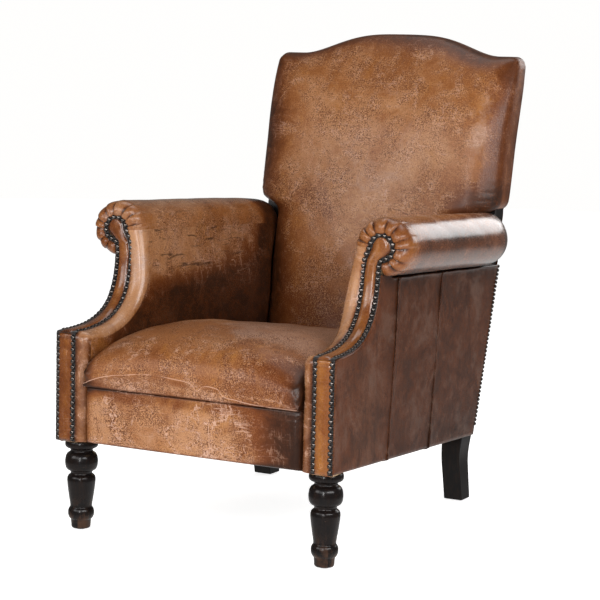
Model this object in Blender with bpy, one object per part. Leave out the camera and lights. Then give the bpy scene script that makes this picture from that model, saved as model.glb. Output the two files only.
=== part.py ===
"""A worn leather club chair with scroll arms, a camel back, turned front legs and a tight seat.

Metres, +Z up. Every piece is modelled with y = 0 on the front faces of the arm posts and the
chair facing -Y. All pieces hang from one empty that brings the origin under the chair's middle.
"""

from math import cos, pi, radians, sin, sqrt

import bmesh
import bpy
from mathutils import Matrix, Vector

# Clearances and thin stock
GAP = 0.0003
LEATHER = 0.0025
PANEL = 0.003
FACING = 0.0035

# Overall frame of the chair
DEPTH_CENTRE = 0.4377
UNDERSIDE = 0.182
UNDERSIDE_SLOPE = -0.056
RAIL_TOP = 0.255
STUFFING_BASE = 0.2595

# Arms
FRONT_HALF_WIDTH = 0.309
STEM_HALF_WIDTH = 0.305
POST_INNER = 0.2622
POST_TOP = 0.397
POST_DEPTH = 0.060
SCOOP = [(0.0, 0.397), (0.130, 0.397), (0.190, 0.430), (0.190, 0.560)]
SCOOP_STEPS = (0.0, 0.02, 0.12, 0.24, 0.36, 0.48, 0.59, 0.69, 0.79, 0.89, 0.97)
BOARD_BACK = [(0.060, 0.330), (0.170, 0.345), (0.236, 0.400), (0.236, 0.531)]
BOARD_TOP = 0.531
INNER_HALF_WIDTH = 0.240
INNER_REAR_HALF_WIDTH = 0.2136

# Arm rolls: centre height, half width and half height at the front, and how they run back
ROLL_X = 0.299
ROLL_Z = 0.587
ROLL_SLOPE = -0.035
ROLL_HALF_WIDTH = 0.057
ROLL_HALF_HEIGHT = 0.0535
ROLL_FRONT = 0.196
ROLL_REAR = 0.752
ROLL_STATIONS = [
    (ROLL_FRONT, 0.86, 0.0), (ROLL_FRONT + 0.006, 0.965, 0.0), (ROLL_FRONT + 0.018, 1.0, 0.0),
    (0.30, 1.0, 0.0), (0.48, 0.985, 0.0), (0.62, 0.97, 0.0), (0.655, 0.95, 0.0),
    (0.685, 0.87, -0.006), (0.712, 0.77, -0.012), (0.735, 0.64, -0.015), (ROLL_REAR, 0.45, -0.016),
]
SCROLL_RADIUS = 0.038
SCROLL_BACK = 0.236

# Back: in the upright back's own plane, which then leans back by RAKE
RAKE = 0.189
BACK_REAR = 0.69965
BACK_FRONT = 0.60400
BACK_CROWN = 0.022
BACK_EDGE = 0.092
BACK_BASE = 0.265
BACK_WAIST_HALF_WIDTH = 0.2375
BACK_SIDE_BASE = 0.5150
BACK_SHOULDER_START = 0.640
SHOULDER_TOP = 0.950
CAMEL_TOP = 0.9945
CAMEL_HALF_WIDTH = 0.235
CREST_BASE = 0.868

# Back posts: height, outer x, rear y, width and depth of each section from floor to crest
POST_SECTIONS = [
    (0.003, 0.257, 0.7370, 0.042, 0.043),
    (0.050, 0.257, 0.7285, 0.042, 0.045),
    (0.100, 0.257, 0.7230, 0.042, 0.050),
    (0.150, 0.2635, 0.7235, 0.046, 0.052),
    (0.260, 0.2680, 0.7445, 0.043, 0.045),
    (0.600, 0.2795, 0.8085, 0.042, 0.040),
    (0.867, 0.2835, 0.8590, 0.042, 0.040),
]

# Turned front legs: radius and height up the profile
LEG_X = 0.274
LEG_Y = 0.0395
LEG_TOP = 0.1797
LEG_PROFILE = [
    (0.0172, 0.0030), (0.0187, 0.0050), (0.0200, 0.0190), (0.0212, 0.0215), (0.0240, 0.0250),
    (0.0256, 0.0300), (0.0256, 0.0370), (0.0240, 0.0420), (0.0215, 0.0450), (0.0218, 0.0500),
    (0.0238, 0.0640), (0.0265, 0.0830), (0.0281, 0.0990), (0.0272, 0.1060), (0.0235, 0.1105),
    (0.0213, 0.1140), (0.0225, 0.1175), (0.0285, 0.1210), (0.0318, 0.1285), (0.0325, 0.1365),
    (0.0316, 0.1450), (0.0285, 0.1525), (0.0228, 0.1565), (0.0218, 0.1595), (0.0240, 0.1628),
    (0.0305, 0.1655), (0.0326, 0.1700), (0.0320, 0.1765), (0.0300, LEG_TOP),
]
LEG_SIDES = 16

# Decorative nails on the gimp
NAIL_PITCH = 0.0118
NAIL_RADIUS = 0.0047
NAIL_RISE = 0.0030
GIMP_WIDTH = 0.013
GIMP_THICKNESS = 0.0012

COLOURS = {
    "tan_leather": ((0.20, 0.085, 0.038, 1.0), 0.38, 0.0),
    "dark_leather": ((0.085, 0.040, 0.024, 1.0), 0.42, 0.0),
    "facing_leather": ((0.30, 0.105, 0.030, 1.0), 0.35, 0.0),
    "gimp_and_nails": ((0.030, 0.024, 0.020, 1.0), 0.40, 0.6),
    "dark_legs": ((0.016, 0.011, 0.010, 1.0), 0.25, 0.0),
    "beech": ((0.52, 0.36, 0.20, 1.0), 0.60, 0.0),
    "foam": ((0.78, 0.70, 0.50, 1.0), 0.90, 0.0),
    "webbing": ((0.42, 0.32, 0.19, 1.0), 0.90, 0.0),
    "dust_cloth": ((0.02, 0.02, 0.02, 1.0), 0.95, 0.0),
    "glide_steel": ((0.45, 0.45, 0.46, 1.0), 0.35, 1.0),
}


# ---------------------------------------------------------------- scene and objects

def clear_scene():
    for obj in list(bpy.data.objects):
        bpy.data.objects.remove(obj, do_unlink=True)


def make_material(name):
    colour, roughness, metallic = COLOURS[name]
    material = bpy.data.materials.get(name) or bpy.data.materials.new(name)
    material.use_nodes = True
    shader = material.node_tree.nodes["Principled BSDF"]
    shader.inputs["Base Color"].default_value = colour
    shader.inputs["Roughness"].default_value = roughness
    shader.inputs["Metallic"].default_value = metallic
    return material


def add_object(name, bm, material, parent, smooth=False):
    bmesh.ops.recalc_face_normals(bm, faces=bm.faces)
    mesh = bpy.data.meshes.new(name)
    bm.to_mesh(mesh)
    bm.free()
    if smooth:
        mesh.shade_smooth()
        mesh.set_sharp_from_angle(angle=radians(35))
    mesh.materials.append(make_material(material))
    obj = bpy.data.objects.new(name, mesh)
    bpy.context.scene.collection.objects.link(obj)
    obj.parent = parent
    return obj


def combine(obj, bm, operation, label):
    """Joins or cuts obj with the closed shape in bm, kept as a hidden wire guide."""
    tool = add_object(obj.name + "_" + label, bm, "beech", obj.parent)
    tool.hide_render = True
    tool.display_type = "WIRE"
    modifier = obj.modifiers.new(label, "BOOLEAN")
    modifier.operation = operation
    modifier.solver = "EXACT"
    modifier.object = tool
    return obj


def settle(obj):
    """Replaces the object's mesh by its evaluated shape and removes its guides."""
    graph = bpy.context.evaluated_depsgraph_get()
    mesh = bpy.data.meshes.new_from_object(obj.evaluated_get(graph))
    guides = [modifier.object for modifier in obj.modifiers]
    obj.modifiers.clear()
    obj.data = mesh
    for guide in guides:
        bpy.data.objects.remove(guide, do_unlink=True)
    return obj


def merged(bm, other):
    """Adds the shape in other to bm as a further separate island."""
    mesh = bpy.data.meshes.new("island")
    other.to_mesh(mesh)
    other.free()
    bm.from_mesh(mesh)
    bpy.data.meshes.remove(mesh)
    return bm


def for_side(bm, side):
    """Keeps the shape for the +X side, or turns it into its mirror image."""
    if side < 0:
        bmesh.ops.scale(bm, vec=(-1, 1, 1), verts=bm.verts)
        bmesh.ops.reverse_faces(bm, faces=bm.faces)
    return bm


def side_name(side):
    return "right" if side > 0 else "left"


# ---------------------------------------------------------------- basic shapes

def box(low, high):
    bm = bmesh.new()
    size = [b - a for a, b in zip(low, high)]
    centre = [(a + b) / 2 for a, b in zip(low, high)]
    place = Matrix.Translation(centre) @ Matrix.Diagonal((*size, 1.0))
    bmesh.ops.create_cube(bm, size=1.0, matrix=place)
    return bm


def loft(rings):
    """A closed body through rings with the same number of points, capped at both ends."""
    bm = bmesh.new()
    rows = [[bm.verts.new(point) for point in ring] for ring in rings]
    count = len(rows[0])
    for low, high in zip(rows, rows[1:]):
        for k in range(count):
            after = (k + 1) % count
            bm.faces.new((low[k], low[after], high[after], high[k]))
    bm.faces.new(list(reversed(rows[0])))
    bm.faces.new(rows[-1])
    bmesh.ops.recalc_face_normals(bm, faces=bm.faces)
    return bm


def prism_z(outline, low, high):
    """The outline in (x, y), extruded along Z."""
    return loft([[(x, y, z) for x, y in outline] for z in (low, high)])


def disc(centre, radius, y_front, y_back, sides=16):
    x, z = centre
    angles = [2 * pi * k / sides for k in range(sides)]
    ring = [(x + radius * cos(a), z + radius * sin(a)) for a in angles]
    return loft([[(px, y, pz) for px, pz in ring] for y in (y_front, y_back)])


def turned(profile, place, sides):
    """A solid of revolution from (radius, height) pairs."""
    rings = []
    for radius, height in profile:
        angles = [2 * pi * k / sides for k in range(sides)]
        rings.append([(place[0] + radius * cos(a), place[1] + radius * sin(a), height) for a in angles])
    return loft(rings)


def wall(columns, inner_x, outer_x, levels):
    """A standing wall: each column runs from (y, z) at its foot to (y, z) at its head."""
    bm = bmesh.new()
    sheets = []
    for x_at in (inner_x, outer_x):
        sheet = []
        for (y0, z0), (y1, z1) in columns:
            places = [(y0 + (y1 - y0) * f, z0 + (z1 - z0) * f) for f in levels]
            sheet.append([bm.verts.new((x_at(y, z), y, z)) for y, z in places])
        sheets.append(sheet)
    across, up = len(columns), len(levels)
    for sheet in sheets:
        for i in range(across - 1):
            for j in range(up - 1):
                corners = (sheet[i][j], sheet[i + 1][j], sheet[i + 1][j + 1], sheet[i][j + 1])
                bm.faces.new(corners)
    rim = [(i, 0) for i in range(across)] + [(across - 1, j) for j in range(1, up)]
    rim += [(i, up - 1) for i in range(across - 2, -1, -1)] + [(0, j) for j in range(up - 2, 0, -1)]
    for (i, j), (m, n) in zip(rim, rim[1:] + rim[:1]):
        bm.faces.new((sheets[0][i][j], sheets[0][m][n], sheets[1][m][n], sheets[1][i][j]))
    bmesh.ops.recalc_face_normals(bm, faces=bm.faces)
    return bm


# ---------------------------------------------------------------- the chair's curves

def bezier(points, t):
    weights = ((1 - t) ** 3, 3 * t * (1 - t) ** 2, 3 * t * t * (1 - t), t ** 3)
    return tuple(sum(w * p[k] for w, p in zip(weights, points)) for k in (0, 1))


def scoop_point(t, inward=0.0):
    """A point on the arm's scooped front edge, moved into the arm by inward."""
    y, z = bezier(SCOOP, t)
    step = 0.001
    y2, z2 = bezier(SCOOP, t + step)
    length = sqrt((y2 - y) ** 2 + (z2 - z) ** 2)
    ty, tz = (y2 - y) / length, (z2 - z) / length
    return y + tz * inward, z - ty * inward


def underside(y):
    return UNDERSIDE + UNDERSIDE_SLOPE * y


def back_rear_y(z):
    return BACK_REAR + RAKE * z


def back_front_y(z):
    return BACK_FRONT + RAKE * z


def side_x(y, z):
    """The outer face of the side, widest at the front and tapering towards the back."""
    ease = min(max((z - POST_TOP) / (BOARD_TOP - POST_TOP), 0.0), 1.0)
    front = FRONT_HALF_WIDTH + (STEM_HALF_WIDTH - FRONT_HALF_WIDTH) * ease
    rear = 0.2675 + 0.0458 * (z - 0.15)
    return front + (rear - front) * y / back_rear_y(z)


def inner_x(y, z):
    """The padded inner face of the arm, narrowing towards the back of the seat."""
    run = min(max(y / 0.68, 0.0), 1.0)
    drop = min(max((0.625 - z) / 0.205, 0.0), 1.0)
    swell = 0.012 * max(0.0, 1 - ((z - 0.50) / 0.085) ** 2)
    return INNER_HALF_WIDTH - (INNER_HALF_WIDTH - INNER_REAR_HALF_WIDTH) * run * drop - swell * (1 - run)


def roll_z(y):
    return ROLL_Z + ROLL_SLOPE * (y - 0.2)


def camel_z(x):
    """The hump of the crest between its two flat shoulders."""
    reach = min(abs(x) / CAMEL_HALF_WIDTH, 1.0)
    return SHOULDER_TOP + (CAMEL_TOP - SHOULDER_TOP) * (0.5 + 0.5 * cos(pi * reach ** 1.6))


# ---------------------------------------------------------------- show wood

def build_front_leg(side, parent):
    bm = turned(LEG_PROFILE, (side * LEG_X, LEG_Y), LEG_SIDES)
    add_object("front_leg_" + side_name(side), bm, "dark_legs", parent, smooth=True)


def post_section(z):
    for low, high in zip(POST_SECTIONS, POST_SECTIONS[1:]):
        if z <= high[0]:
            f = (z - low[0]) / (high[0] - low[0])
            return [a + (b - a) * f for a, b in zip(low, high)]
    return list(POST_SECTIONS[-1])


def back_post(grow=0.0):
    rings = []
    for z, outer, rear, width, depth in POST_SECTIONS:
        x0, x1 = outer - width - grow, outer + grow
        y0, y1 = rear - depth - grow, rear + grow
        rings.append([(x0, y0, z), (x1, y0, z), (x1, y1, z), (x0, y1, z)])
    if grow:
        rings[-1] = [(x, y, z + 0.0006) for x, y, z in rings[-1]]
    return loft(rings)


def build_back_post(side, parent):
    add_object("back_post_" + side_name(side), for_side(back_post(), side), "dark_legs", parent)


def build_glides(parent):
    rear = POST_SECTIONS[0]
    rear_place = (rear[1] - rear[3] / 2, rear[2] - rear[4] / 2)
    for end, (x, y) in (("front", (LEG_X, LEG_Y)), ("rear", rear_place)):
        for side in (-1, 1):
            profile = [(0.0085, 0.0), (0.0100, 0.0012), (0.0100, 0.0027)]
            name = "foot_glide_" + end + "_" + side_name(side)
            add_object(name, turned(profile, (side * x, y), 16), "glide_steel", parent, smooth=True)


# ---------------------------------------------------------------- hidden frame

def side_rail():
    """A rail whose faces follow the tapering side and the raked post behind it."""
    rings = []
    for front in (True, False):
        ring = []
        for z_high, inward in ((False, 0.0), (True, 0.0), (True, 0.025), (False, 0.025)):
            y = POST_DEPTH + GAP
            if not front:
                y = POST_SECTIONS[4][2] - POST_SECTIONS[4][4]
            z = RAIL_TOP if z_high else underside(y) + 0.002
            ring.append((side_x(y, z) - PANEL - 0.0013 - inward, y, z))
        rings.append(ring)
    return loft(rings)


def build_seat_rails(parent):
    reach = POST_INNER - GAP
    add_object("front_rail", box((-reach, 0.012, UNDERSIDE + 0.0005), (reach, 0.037, RAIL_TOP)),
               "beech", parent)
    low = post_section(UNDERSIDE + 0.0005)
    reach = low[1] - low[3] - GAP
    rear = low[2] - 0.012
    add_object("back_rail", box((-reach, rear - 0.025, UNDERSIDE + 0.0005), (reach, rear, 0.250)),
               "beech", parent)
    for side in (-1, 1):
        rail = add_object("side_rail_" + side_name(side), for_side(side_rail(), side), "beech", parent)
        combine(rail, for_side(back_post(GAP), side), "DIFFERENCE", "post_shoulder")
    return rear - 0.025


def build_corner_blocks(back_rail_front, parent):
    leg = 0.055
    front = 0.037 + GAP
    rear = back_rail_front - GAP
    corners = {"front": (POST_INNER - GAP, front, 1), "rear": (0.2145, rear, -1)}
    for end, (x, y, way) in corners.items():
        outline = [(x, y), (x - leg, y), (x, y + way * leg)]
        for side in (-1, 1):
            name = "corner_block_" + end + "_" + side_name(side)
            add_object(name, for_side(prism_z(outline, 0.190, 0.245), side), "beech", parent)


def arm_board():
    """The shaped stump: upright at the front leg, swept back and up under the scroll."""
    edge = FACING + GAP
    pairs = [((edge, UNDERSIDE - 0.002), (POST_DEPTH, UNDERSIDE - 0.002)),
             ((edge, 0.300), (POST_DEPTH, 0.290))]
    for t in SCOOP_STEPS[:-1]:
        front = (edge, POST_TOP - edge) if t == 0.0 else scoop_point(t, edge)
        pairs.append((front, bezier(BOARD_BACK, t)))
    pairs.append(((0.190 + edge, BOARD_TOP), (SCROLL_BACK, BOARD_TOP)))
    rings = []
    for (fy, fz), (by, bz) in pairs:
        f_out = side_x(fy, fz) - PANEL - 2 * GAP
        b_out = side_x(by, bz) - PANEL - 2 * GAP
        rings.append([(POST_INNER, fy, fz), (f_out, fy, fz), (b_out, by, bz), (POST_INNER, by, bz)])
    return loft(rings)


def scroll_neck(grow=0.0):
    front = ROLL_FRONT + LEATHER + GAP - grow
    outer = side_x(SCROLL_BACK, BOARD_TOP) - PANEL - GAP
    return box((POST_INNER - grow, front, 0.505 - grow),
               (outer + grow, SCROLL_BACK + grow, ROLL_Z + grow))


def scroll_head(grow=0.0):
    front = ROLL_FRONT + LEATHER + GAP - grow
    return disc((ROLL_X, ROLL_Z), SCROLL_RADIUS + grow, front, SCROLL_BACK + grow)


def arm_rail(grow=0.0):
    post = post_section(0.58)
    rear = post[2] - post[4] - 0.003
    return box((0.266 - grow, SCROLL_BACK + GAP - grow, 0.552 - grow),
               (0.292 + grow, rear + grow, 0.592 + grow))


def build_arm_frame(side, parent):
    post = add_object("arm_post_" + side_name(side), for_side(arm_board(), side), "beech", parent)
    combine(post, for_side(scroll_neck(), side), "UNION", "neck")
    combine(post, for_side(scroll_head(), side), "UNION", "head")
    rail = add_object("arm_rail_" + side_name(side), for_side(arm_rail(0.0), side), "beech", parent)
    combine(rail, for_side(back_post(GAP), side), "DIFFERENCE", "post_shoulder")


def raked(bm):
    for vert in bm.verts:
        vert.co.y += RAKE * vert.co.z
    return bm


def rail_span(grow):
    """Front and rear faces of the rails across the back, let in from the stuffing's rear."""
    rear = BACK_REAR - PANEL - 3 * GAP
    return rear - 0.031 - grow, rear + (0.004 if grow else 0.0)


def crest_rail(grow=0.0):
    """The camel-shaped top rail, lying on the two back posts."""
    reach = 0.268
    steps = 14
    outline = [(-reach - grow, CREST_BASE - grow), (reach + grow, CREST_BASE - grow)]
    for step in range(steps + 1):
        x = reach - 2 * reach * step / steps
        outline.append((x * (1 + grow / reach), camel_z(x) - 0.022 + grow))
    low, high = rail_span(grow)
    return raked(loft([[(x, y, z) for x, z in outline] for y in (low, high)]))


def back_stay(grow=0.0):
    low, high = rail_span(grow)
    return raked(box((-0.2255 - grow, low, 0.345 - grow), (0.2255 + grow, high, 0.400 + grow)))


# ---------------------------------------------------------------- webbing and lining

def build_webbing(back_rail_front, parent):
    width, thick = 0.050, 0.0018
    low = RAIL_TOP + GAP
    for k, x in enumerate((-0.15, -0.05, 0.05, 0.15)):
        bm = box((x - width / 2, 0.014, low), (x + width / 2, back_rail_front + 0.010, low + thick))
        add_object("webbing_long_%d" % (k + 1), bm, "webbing", parent)
    low += thick + GAP
    for k, y in enumerate((0.17, 0.33, 0.49)):
        reach = side_x(y, RAIL_TOP) - PANEL - 0.010
        bm = box((-reach, y - width / 2, low), (reach, y + width / 2, low + thick))
        add_object("webbing_cross_%d" % (k + 1), bm, "webbing", parent)


def build_dust_cover(back_rail_front, parent):
    low = UNDERSIDE + 0.0005 - GAP
    bm = box((-0.205, 0.014, low - 0.0012), (0.205, back_rail_front + 0.022, low))
    add_object("dust_cover", bm, "dust_cloth", parent)


# ---------------------------------------------------------------- seat and apron

SEAT_PROFILE = [
    (0.012, 0.2965), (-0.0070, 0.3000), (-0.0120, 0.3180), (-0.0110, 0.3420), (0.0000, 0.3700),
    (0.0220, 0.3930), (0.0650, 0.4120), (0.1300, 0.4220), (0.2000, 0.4220), (0.3200, 0.4060),
    (0.4700, 0.3820), (0.5900, 0.3650), (0.6300, 0.3600),
]


def seat_form(inset, base=STUFFING_BASE):
    """The tight seat: crowned, rounded over the front, with its sides against the arms."""
    lip = 0.2965 + inset
    rings = []
    for u in (-1.0, -0.93, -0.75, -0.5, -0.25, 0.0, 0.25, 0.5, 0.75, 0.93, 1.0):
        fall = 0.045 * abs(u) ** 3.5
        outline = []
        for k, (y, z) in enumerate(SEAT_PROFILE):
            lean = min(max((0.394 - z) / 0.09, 0.0), 1.0) if y < 0.05 else 0.0
            lift = inset if k == 0 else inset * (lean * 0.3 - (1 - lean))
            outline.append((y + inset * lean, z - fall * share_of_fall(z) + lift))
        top = outline[-1][1]
        for z in (top, base):
            outline.append((back_front_y(z) - BACK_CROWN - 0.002 - inset, z))
        outline += [(0.0385 + inset, base), (0.0385 + inset, lip)]
        rings.append([(u * (inner_x(y, 0.30) - 0.0010 - GAP - inset), y, z) for y, z in outline])
    return loft(rings)


def share_of_fall(z):
    """How far the sides of the seat dip at this height of its profile: none at the crease."""
    return min(max((z - 0.300) / 0.10, 0.0), 1.0)


def build_seat(parent):
    cover = add_object("seat_cover", seat_form(0.0), "tan_leather", parent, smooth=True)
    combine(cover, seat_form(LEATHER, STUFFING_BASE - 0.010), "DIFFERENCE", "lining")
    add_object("seat_foam", seat_form(LEATHER + 3 * GAP), "foam", parent, smooth=True)


def apron_form(inset):
    """The upholstered border under the seat's lip, slightly proud in its middle."""
    rings = []
    half = 0.2390 - inset
    for u in (-1.0, -0.96, -0.8, -0.4, 0.0, 0.4, 0.8, 0.96, 1.0):
        bulge = 0.004 * (1 - u * u)
        drop = 0.004 * max(0.0, (abs(u) - 0.9) / 0.1)
        low, high = UNDERSIDE + inset, 0.2958 - inset
        face = -0.0010 - bulge + drop + inset
        ring = [(0.0117, low), (face + 0.003, low), (face, low + 0.008), (face - 0.0015, 0.235),
                (face, high - 0.012), (face + 0.004, high), (0.0117, high)]
        rings.append([(u * half, y, z) for y, z in ring])
    return loft(rings)


def build_apron(parent):
    cover = add_object("apron_cover", apron_form(0.0), "tan_leather", parent, smooth=True)
    opening = box((-0.2390 + LEATHER, 0.004, UNDERSIDE + LEATHER), (0.2390 - LEATHER, 0.020, 0.2958 - LEATHER))
    combine(cover, opening, "DIFFERENCE", "hollow")
    edge = LEATHER + GAP
    pad = box((-0.2390 + edge, 0.004 + GAP, UNDERSIDE + edge), (0.2390 - edge, 0.0117, 0.2958 - edge))
    add_object("apron_pad", pad, "foam", parent)


# ---------------------------------------------------------------- arms

def arm_slab(inset, outer):
    """The inner arm from the padded scoop back to the chair's back."""
    base = STUFFING_BASE + inset
    columns = [((0.002 + inset, base), (0.002 + inset, POST_TOP - 0.002 - inset))]
    for t in SCOOP_STEPS[1:]:
        y, z = scoop_point(t, 0.002 + inset)
        columns.append(((y, base), (y, z)))
    top = 0.586 - inset
    columns.append(((0.1975 + inset, base), (0.1975 + inset, top)))
    rear_low, rear_high = back_front_y(base) - 0.008 - inset, back_front_y(top) - 0.008 - inset
    for f in (0.12, 0.35, 0.65, 1.0):
        foot = 0.1975 + (rear_low - 0.1975) * f
        head = 0.1975 + (rear_high - 0.1975) * f
        columns.append(((foot, base), (head, roll_z(head) - 0.001 - inset)))
    levels = [0.0, 0.4, 0.7, 1.0]
    return wall(columns, lambda y, z: inner_x(y, z) + inset, lambda y, z: outer, levels)


def arm_roll(inset):
    """The rolled top of the arm, lower towards the back and drawn in where it meets the back."""
    rings = []
    sides = 16
    for k, (y, share, shift) in enumerate(ROLL_STATIONS):
        at = y + inset if k == 0 else y - inset if k == len(ROLL_STATIONS) - 1 else y
        rx = ROLL_HALF_WIDTH * share - inset
        rz = ROLL_HALF_HEIGHT * share - inset
        ring = []
        for n in range(sides):
            a = 2 * pi * (n + 0.37) / sides
            ring.append((ROLL_X + shift + rx * cos(a), at, roll_z(y) + rz * sin(a)))
        rings.append(ring)
    return loft(rings)


def arm_toe():
    """The padded inner return that carries the arm's edge down beside the apron."""
    return box((0.2396, 0.002, UNDERSIDE), (0.2609, 0.0117, STUFFING_BASE + 0.001))


def cut_by_frame(obj):
    combine(obj, scroll_neck(GAP), "DIFFERENCE", "neck")
    combine(obj, scroll_head(GAP), "DIFFERENCE", "head")
    combine(obj, arm_rail(GAP), "DIFFERENCE", "rail")
    combine(obj, back_post(GAP), "DIFFERENCE", "post")


def arm_shape(name, inset, outer, material, parent):
    """The inner arm and its roll as one settled body on the +X side."""
    shape = add_object(name, arm_slab(inset, outer), material, parent)
    combine(shape, arm_roll(inset), "UNION", "roll")
    return settle(shape)


def shape_of(obj):
    """Takes the object's mesh out as a loose shape and removes the object."""
    bm = bmesh.new()
    bm.from_mesh(obj.data)
    bpy.data.objects.remove(obj, do_unlink=True)
    return bm


def build_arm_upholstery(parent):
    outer = POST_INNER - 0.001
    cover = arm_shape("inside_arm_cover_right", 0.0, outer, "tan_leather", parent)
    lining = arm_shape("arm_lining", LEATHER, outer + 0.004, "foam", parent)
    combine(cover, shape_of(lining), "DIFFERENCE", "hollow")
    combine(cover, arm_toe(), "UNION", "toe")
    pad = arm_shape("arm_pad_right", LEATHER + 4 * GAP, outer - GAP, "foam", parent)
    for obj in (cover, pad):
        cut_by_frame(obj)
        settle(obj)
        other = bmesh.new()
        other.from_mesh(obj.data)
        name = obj.name.replace("right", "left")
        add_object(name, for_side(other, -1), obj.data.materials[0].name, parent)


# ---------------------------------------------------------------- back

def back_outline(inset):
    """Half points of the back seen from the front, mirrored into a closed loop."""
    half = [(0.0, BACK_BASE + inset), (0.20, BACK_BASE + inset)]
    half += [(0.276 - inset, BACK_BASE + 0.006 + inset)]
    for z, x in ((0.42, 0.281), (0.60, 0.2845), (0.69, 0.2845), (0.77, 0.2855), (0.85, 0.2890)):
        half.append((x - inset, z))
    half += [(0.2945 - inset, 0.905), (0.2945 - inset, 0.931 - inset), (0.289 - inset, 0.9425 - inset)]
    half += [(0.276 - inset, 0.948 - inset)]
    for x in (0.25, 0.215, 0.18, 0.145, 0.11, 0.07, 0.035, 0.0):
        half.append((x, camel_z(x) - inset))
    left = [(-x, z) for x, z in reversed(half[1:-1])]
    return half + left


def shrunk(outline, by):
    """Draws an outline in towards the middle of the back by about the given distance."""
    middle_z = 0.62
    result = []
    for x, z in outline:
        dx = max(0.0, 1 - by / 0.29) * x
        reach = (z - middle_z) / 0.36
        result.append((dx, z - by * max(-1.0, min(1.0, reach * 1.15))))
    return result


def back_thickness(z):
    """Thickness at the side edges: even up to the shoulders, then rounding off to the top."""
    return BACK_EDGE * (1 - 0.45 * max(0.0, (z - 0.78) / 0.18) ** 2)


def back_form(inset, through=0.0):
    """The stuffed back: crowned in the middle and rounded over its edges."""
    outline = back_outline(inset)
    rear = BACK_REAR - PANEL - GAP * 2
    layers = [(0.0, 0.0), (0.56, 0.0), (0.78, 0.006), (0.91, 0.018), (1.0, 0.036), (1.11, 0.090), (1.21, 0.180), (1.24, 0.270)]
    rings = []
    for share, by in layers:
        ring = []
        for x, z in shrunk(outline, by):
            depth = share * (back_thickness(z) - inset)
            ring.append((x, rear - depth if share else rear + through, z))
        rings.append(ring)
    return raked(loft(rings))


def waist_notch(side, inset):
    """Room beside the back for the arm's stump, rail and roll."""
    low = BACK_WAIST_HALF_WIDTH - inset
    lower = box((low, 0.50, 0.20), (0.36, 1.0, BACK_SIDE_BASE + inset))
    return for_side(lower, side)


def roll_notch(side, inset):
    low = BACK_WAIST_HALF_WIDTH - inset
    upper = box((low, 0.50, BACK_SIDE_BASE - 0.01), (0.36, ROLL_REAR + 0.003 + inset, BACK_SHOULDER_START + inset))
    return for_side(upper, side)


def notched(obj, inset):
    for side in (-1, 1):
        label = side_name(side)
        combine(obj, waist_notch(side, inset), "DIFFERENCE", "waist_" + label)
        combine(obj, roll_notch(side, inset), "DIFFERENCE", "roll_" + label)


def build_back(parent):
    lining = add_object("back_lining", back_form(LEATHER, through=0.020), "foam", parent)
    notched(lining, LEATHER)
    cover = add_object("inside_back_cover", back_form(0.0), "tan_leather", parent, smooth=True)
    notched(cover, 0.0)
    combine(cover, shape_of(settle(lining)), "DIFFERENCE", "lining")
    pad = add_object("back_pad", back_form(LEATHER + 5 * GAP), "foam", parent)
    notched(pad, LEATHER + 5 * GAP)
    for obj in (cover, pad):
        for side in (-1, 1):
            combine(obj, for_side(back_post(GAP), side), "DIFFERENCE", "post_" + side_name(side))
            combine(obj, for_side(arm_rail(GAP), side), "DIFFERENCE", "arm_rail_" + side_name(side))
    combine(pad, crest_rail(GAP), "DIFFERENCE", "crest")
    combine(pad, back_stay(GAP), "DIFFERENCE", "stay")
    add_object("crest_rail", crest_rail(), "beech", parent)
    stay = add_object("back_stay", back_stay(), "beech", parent)
    for side in (-1, 1):
        combine(stay, for_side(back_post(GAP), side), "DIFFERENCE", "post_" + side_name(side))


def build_outside_back(parent):
    """The flat leather panel across the rear, from under the seat rail to the camel crest."""
    half = [(0.0, 0.148), (0.2625, 0.148), (0.2795, 0.51), (0.2800, 0.69), (0.2925, 0.905),
            (0.2925, 0.931), (0.287, 0.942), (0.274, 0.947)]
    for x in (0.25, 0.215, 0.18, 0.145, 0.11, 0.07, 0.035, 0.0):
        half.append((x, camel_z(x) - 0.001))
    outline = half + [(-x, z) for x, z in reversed(half[1:-1])]
    low, high = BACK_REAR - PANEL, BACK_REAR
    bm = raked(loft([[(x, y, z) for x, z in outline] for y in (low, high)]))
    add_object("outside_back_panel", bm, "dark_leather", parent)


# ---------------------------------------------------------------- outer sides

def seam_y(index, z):
    low, high = ((0.248, 0.271), (0.460, 0.480))[index]
    return low + (high - low) * (z - 0.16) / 0.37


def panel_top(y):
    return roll_z(y) - ROLL_HALF_HEIGHT - 0.0012


def seam_column(index, shift):
    foot = seam_y(index, 0.16)
    head = seam_y(index, 0.53)
    return ((foot + shift, underside(foot)), (head + shift, panel_top(head)))


def plain_column(foot, head):
    return ((foot, underside(foot)), (head, panel_top(head)))


def front_section():
    edge = FACING + GAP
    columns = [((edge, underside(edge)), (edge, POST_TOP - edge))]
    for t in SCOOP_STEPS[1:-1]:
        y, z = scoop_point(t, edge)
        columns.append(((y, underside(y)), (y, z)))
    columns += [plain_column(0.1975, 0.1975), plain_column(0.225, 0.232), seam_column(0, -GAP / 2)]
    return columns


def middle_section():
    return [seam_column(0, GAP / 2), plain_column(0.32, 0.34), plain_column(0.39, 0.41),
            seam_column(1, -GAP / 2)]


def rear_section():
    edge = PANEL + GAP
    foot, head = back_rear_y(0.143) - edge, back_rear_y(0.513) - edge
    return [seam_column(1, GAP / 2), plain_column(0.55, 0.58), plain_column(0.64, 0.69),
            plain_column(foot, head)]


def build_outside_arm(side, parent):
    sections = {"front": front_section(), "middle": middle_section(), "rear": rear_section()}
    for label, columns in sections.items():
        bm = wall(columns, lambda y, z: side_x(y, z) - PANEL, side_x, [0.0, 0.35, 0.6, 0.8, 1.0])
        name = "outside_arm_" + label + "_" + side_name(side)
        add_object(name, for_side(bm, side), "dark_leather", parent)


# ---------------------------------------------------------------- facings, gimp and nails

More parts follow.
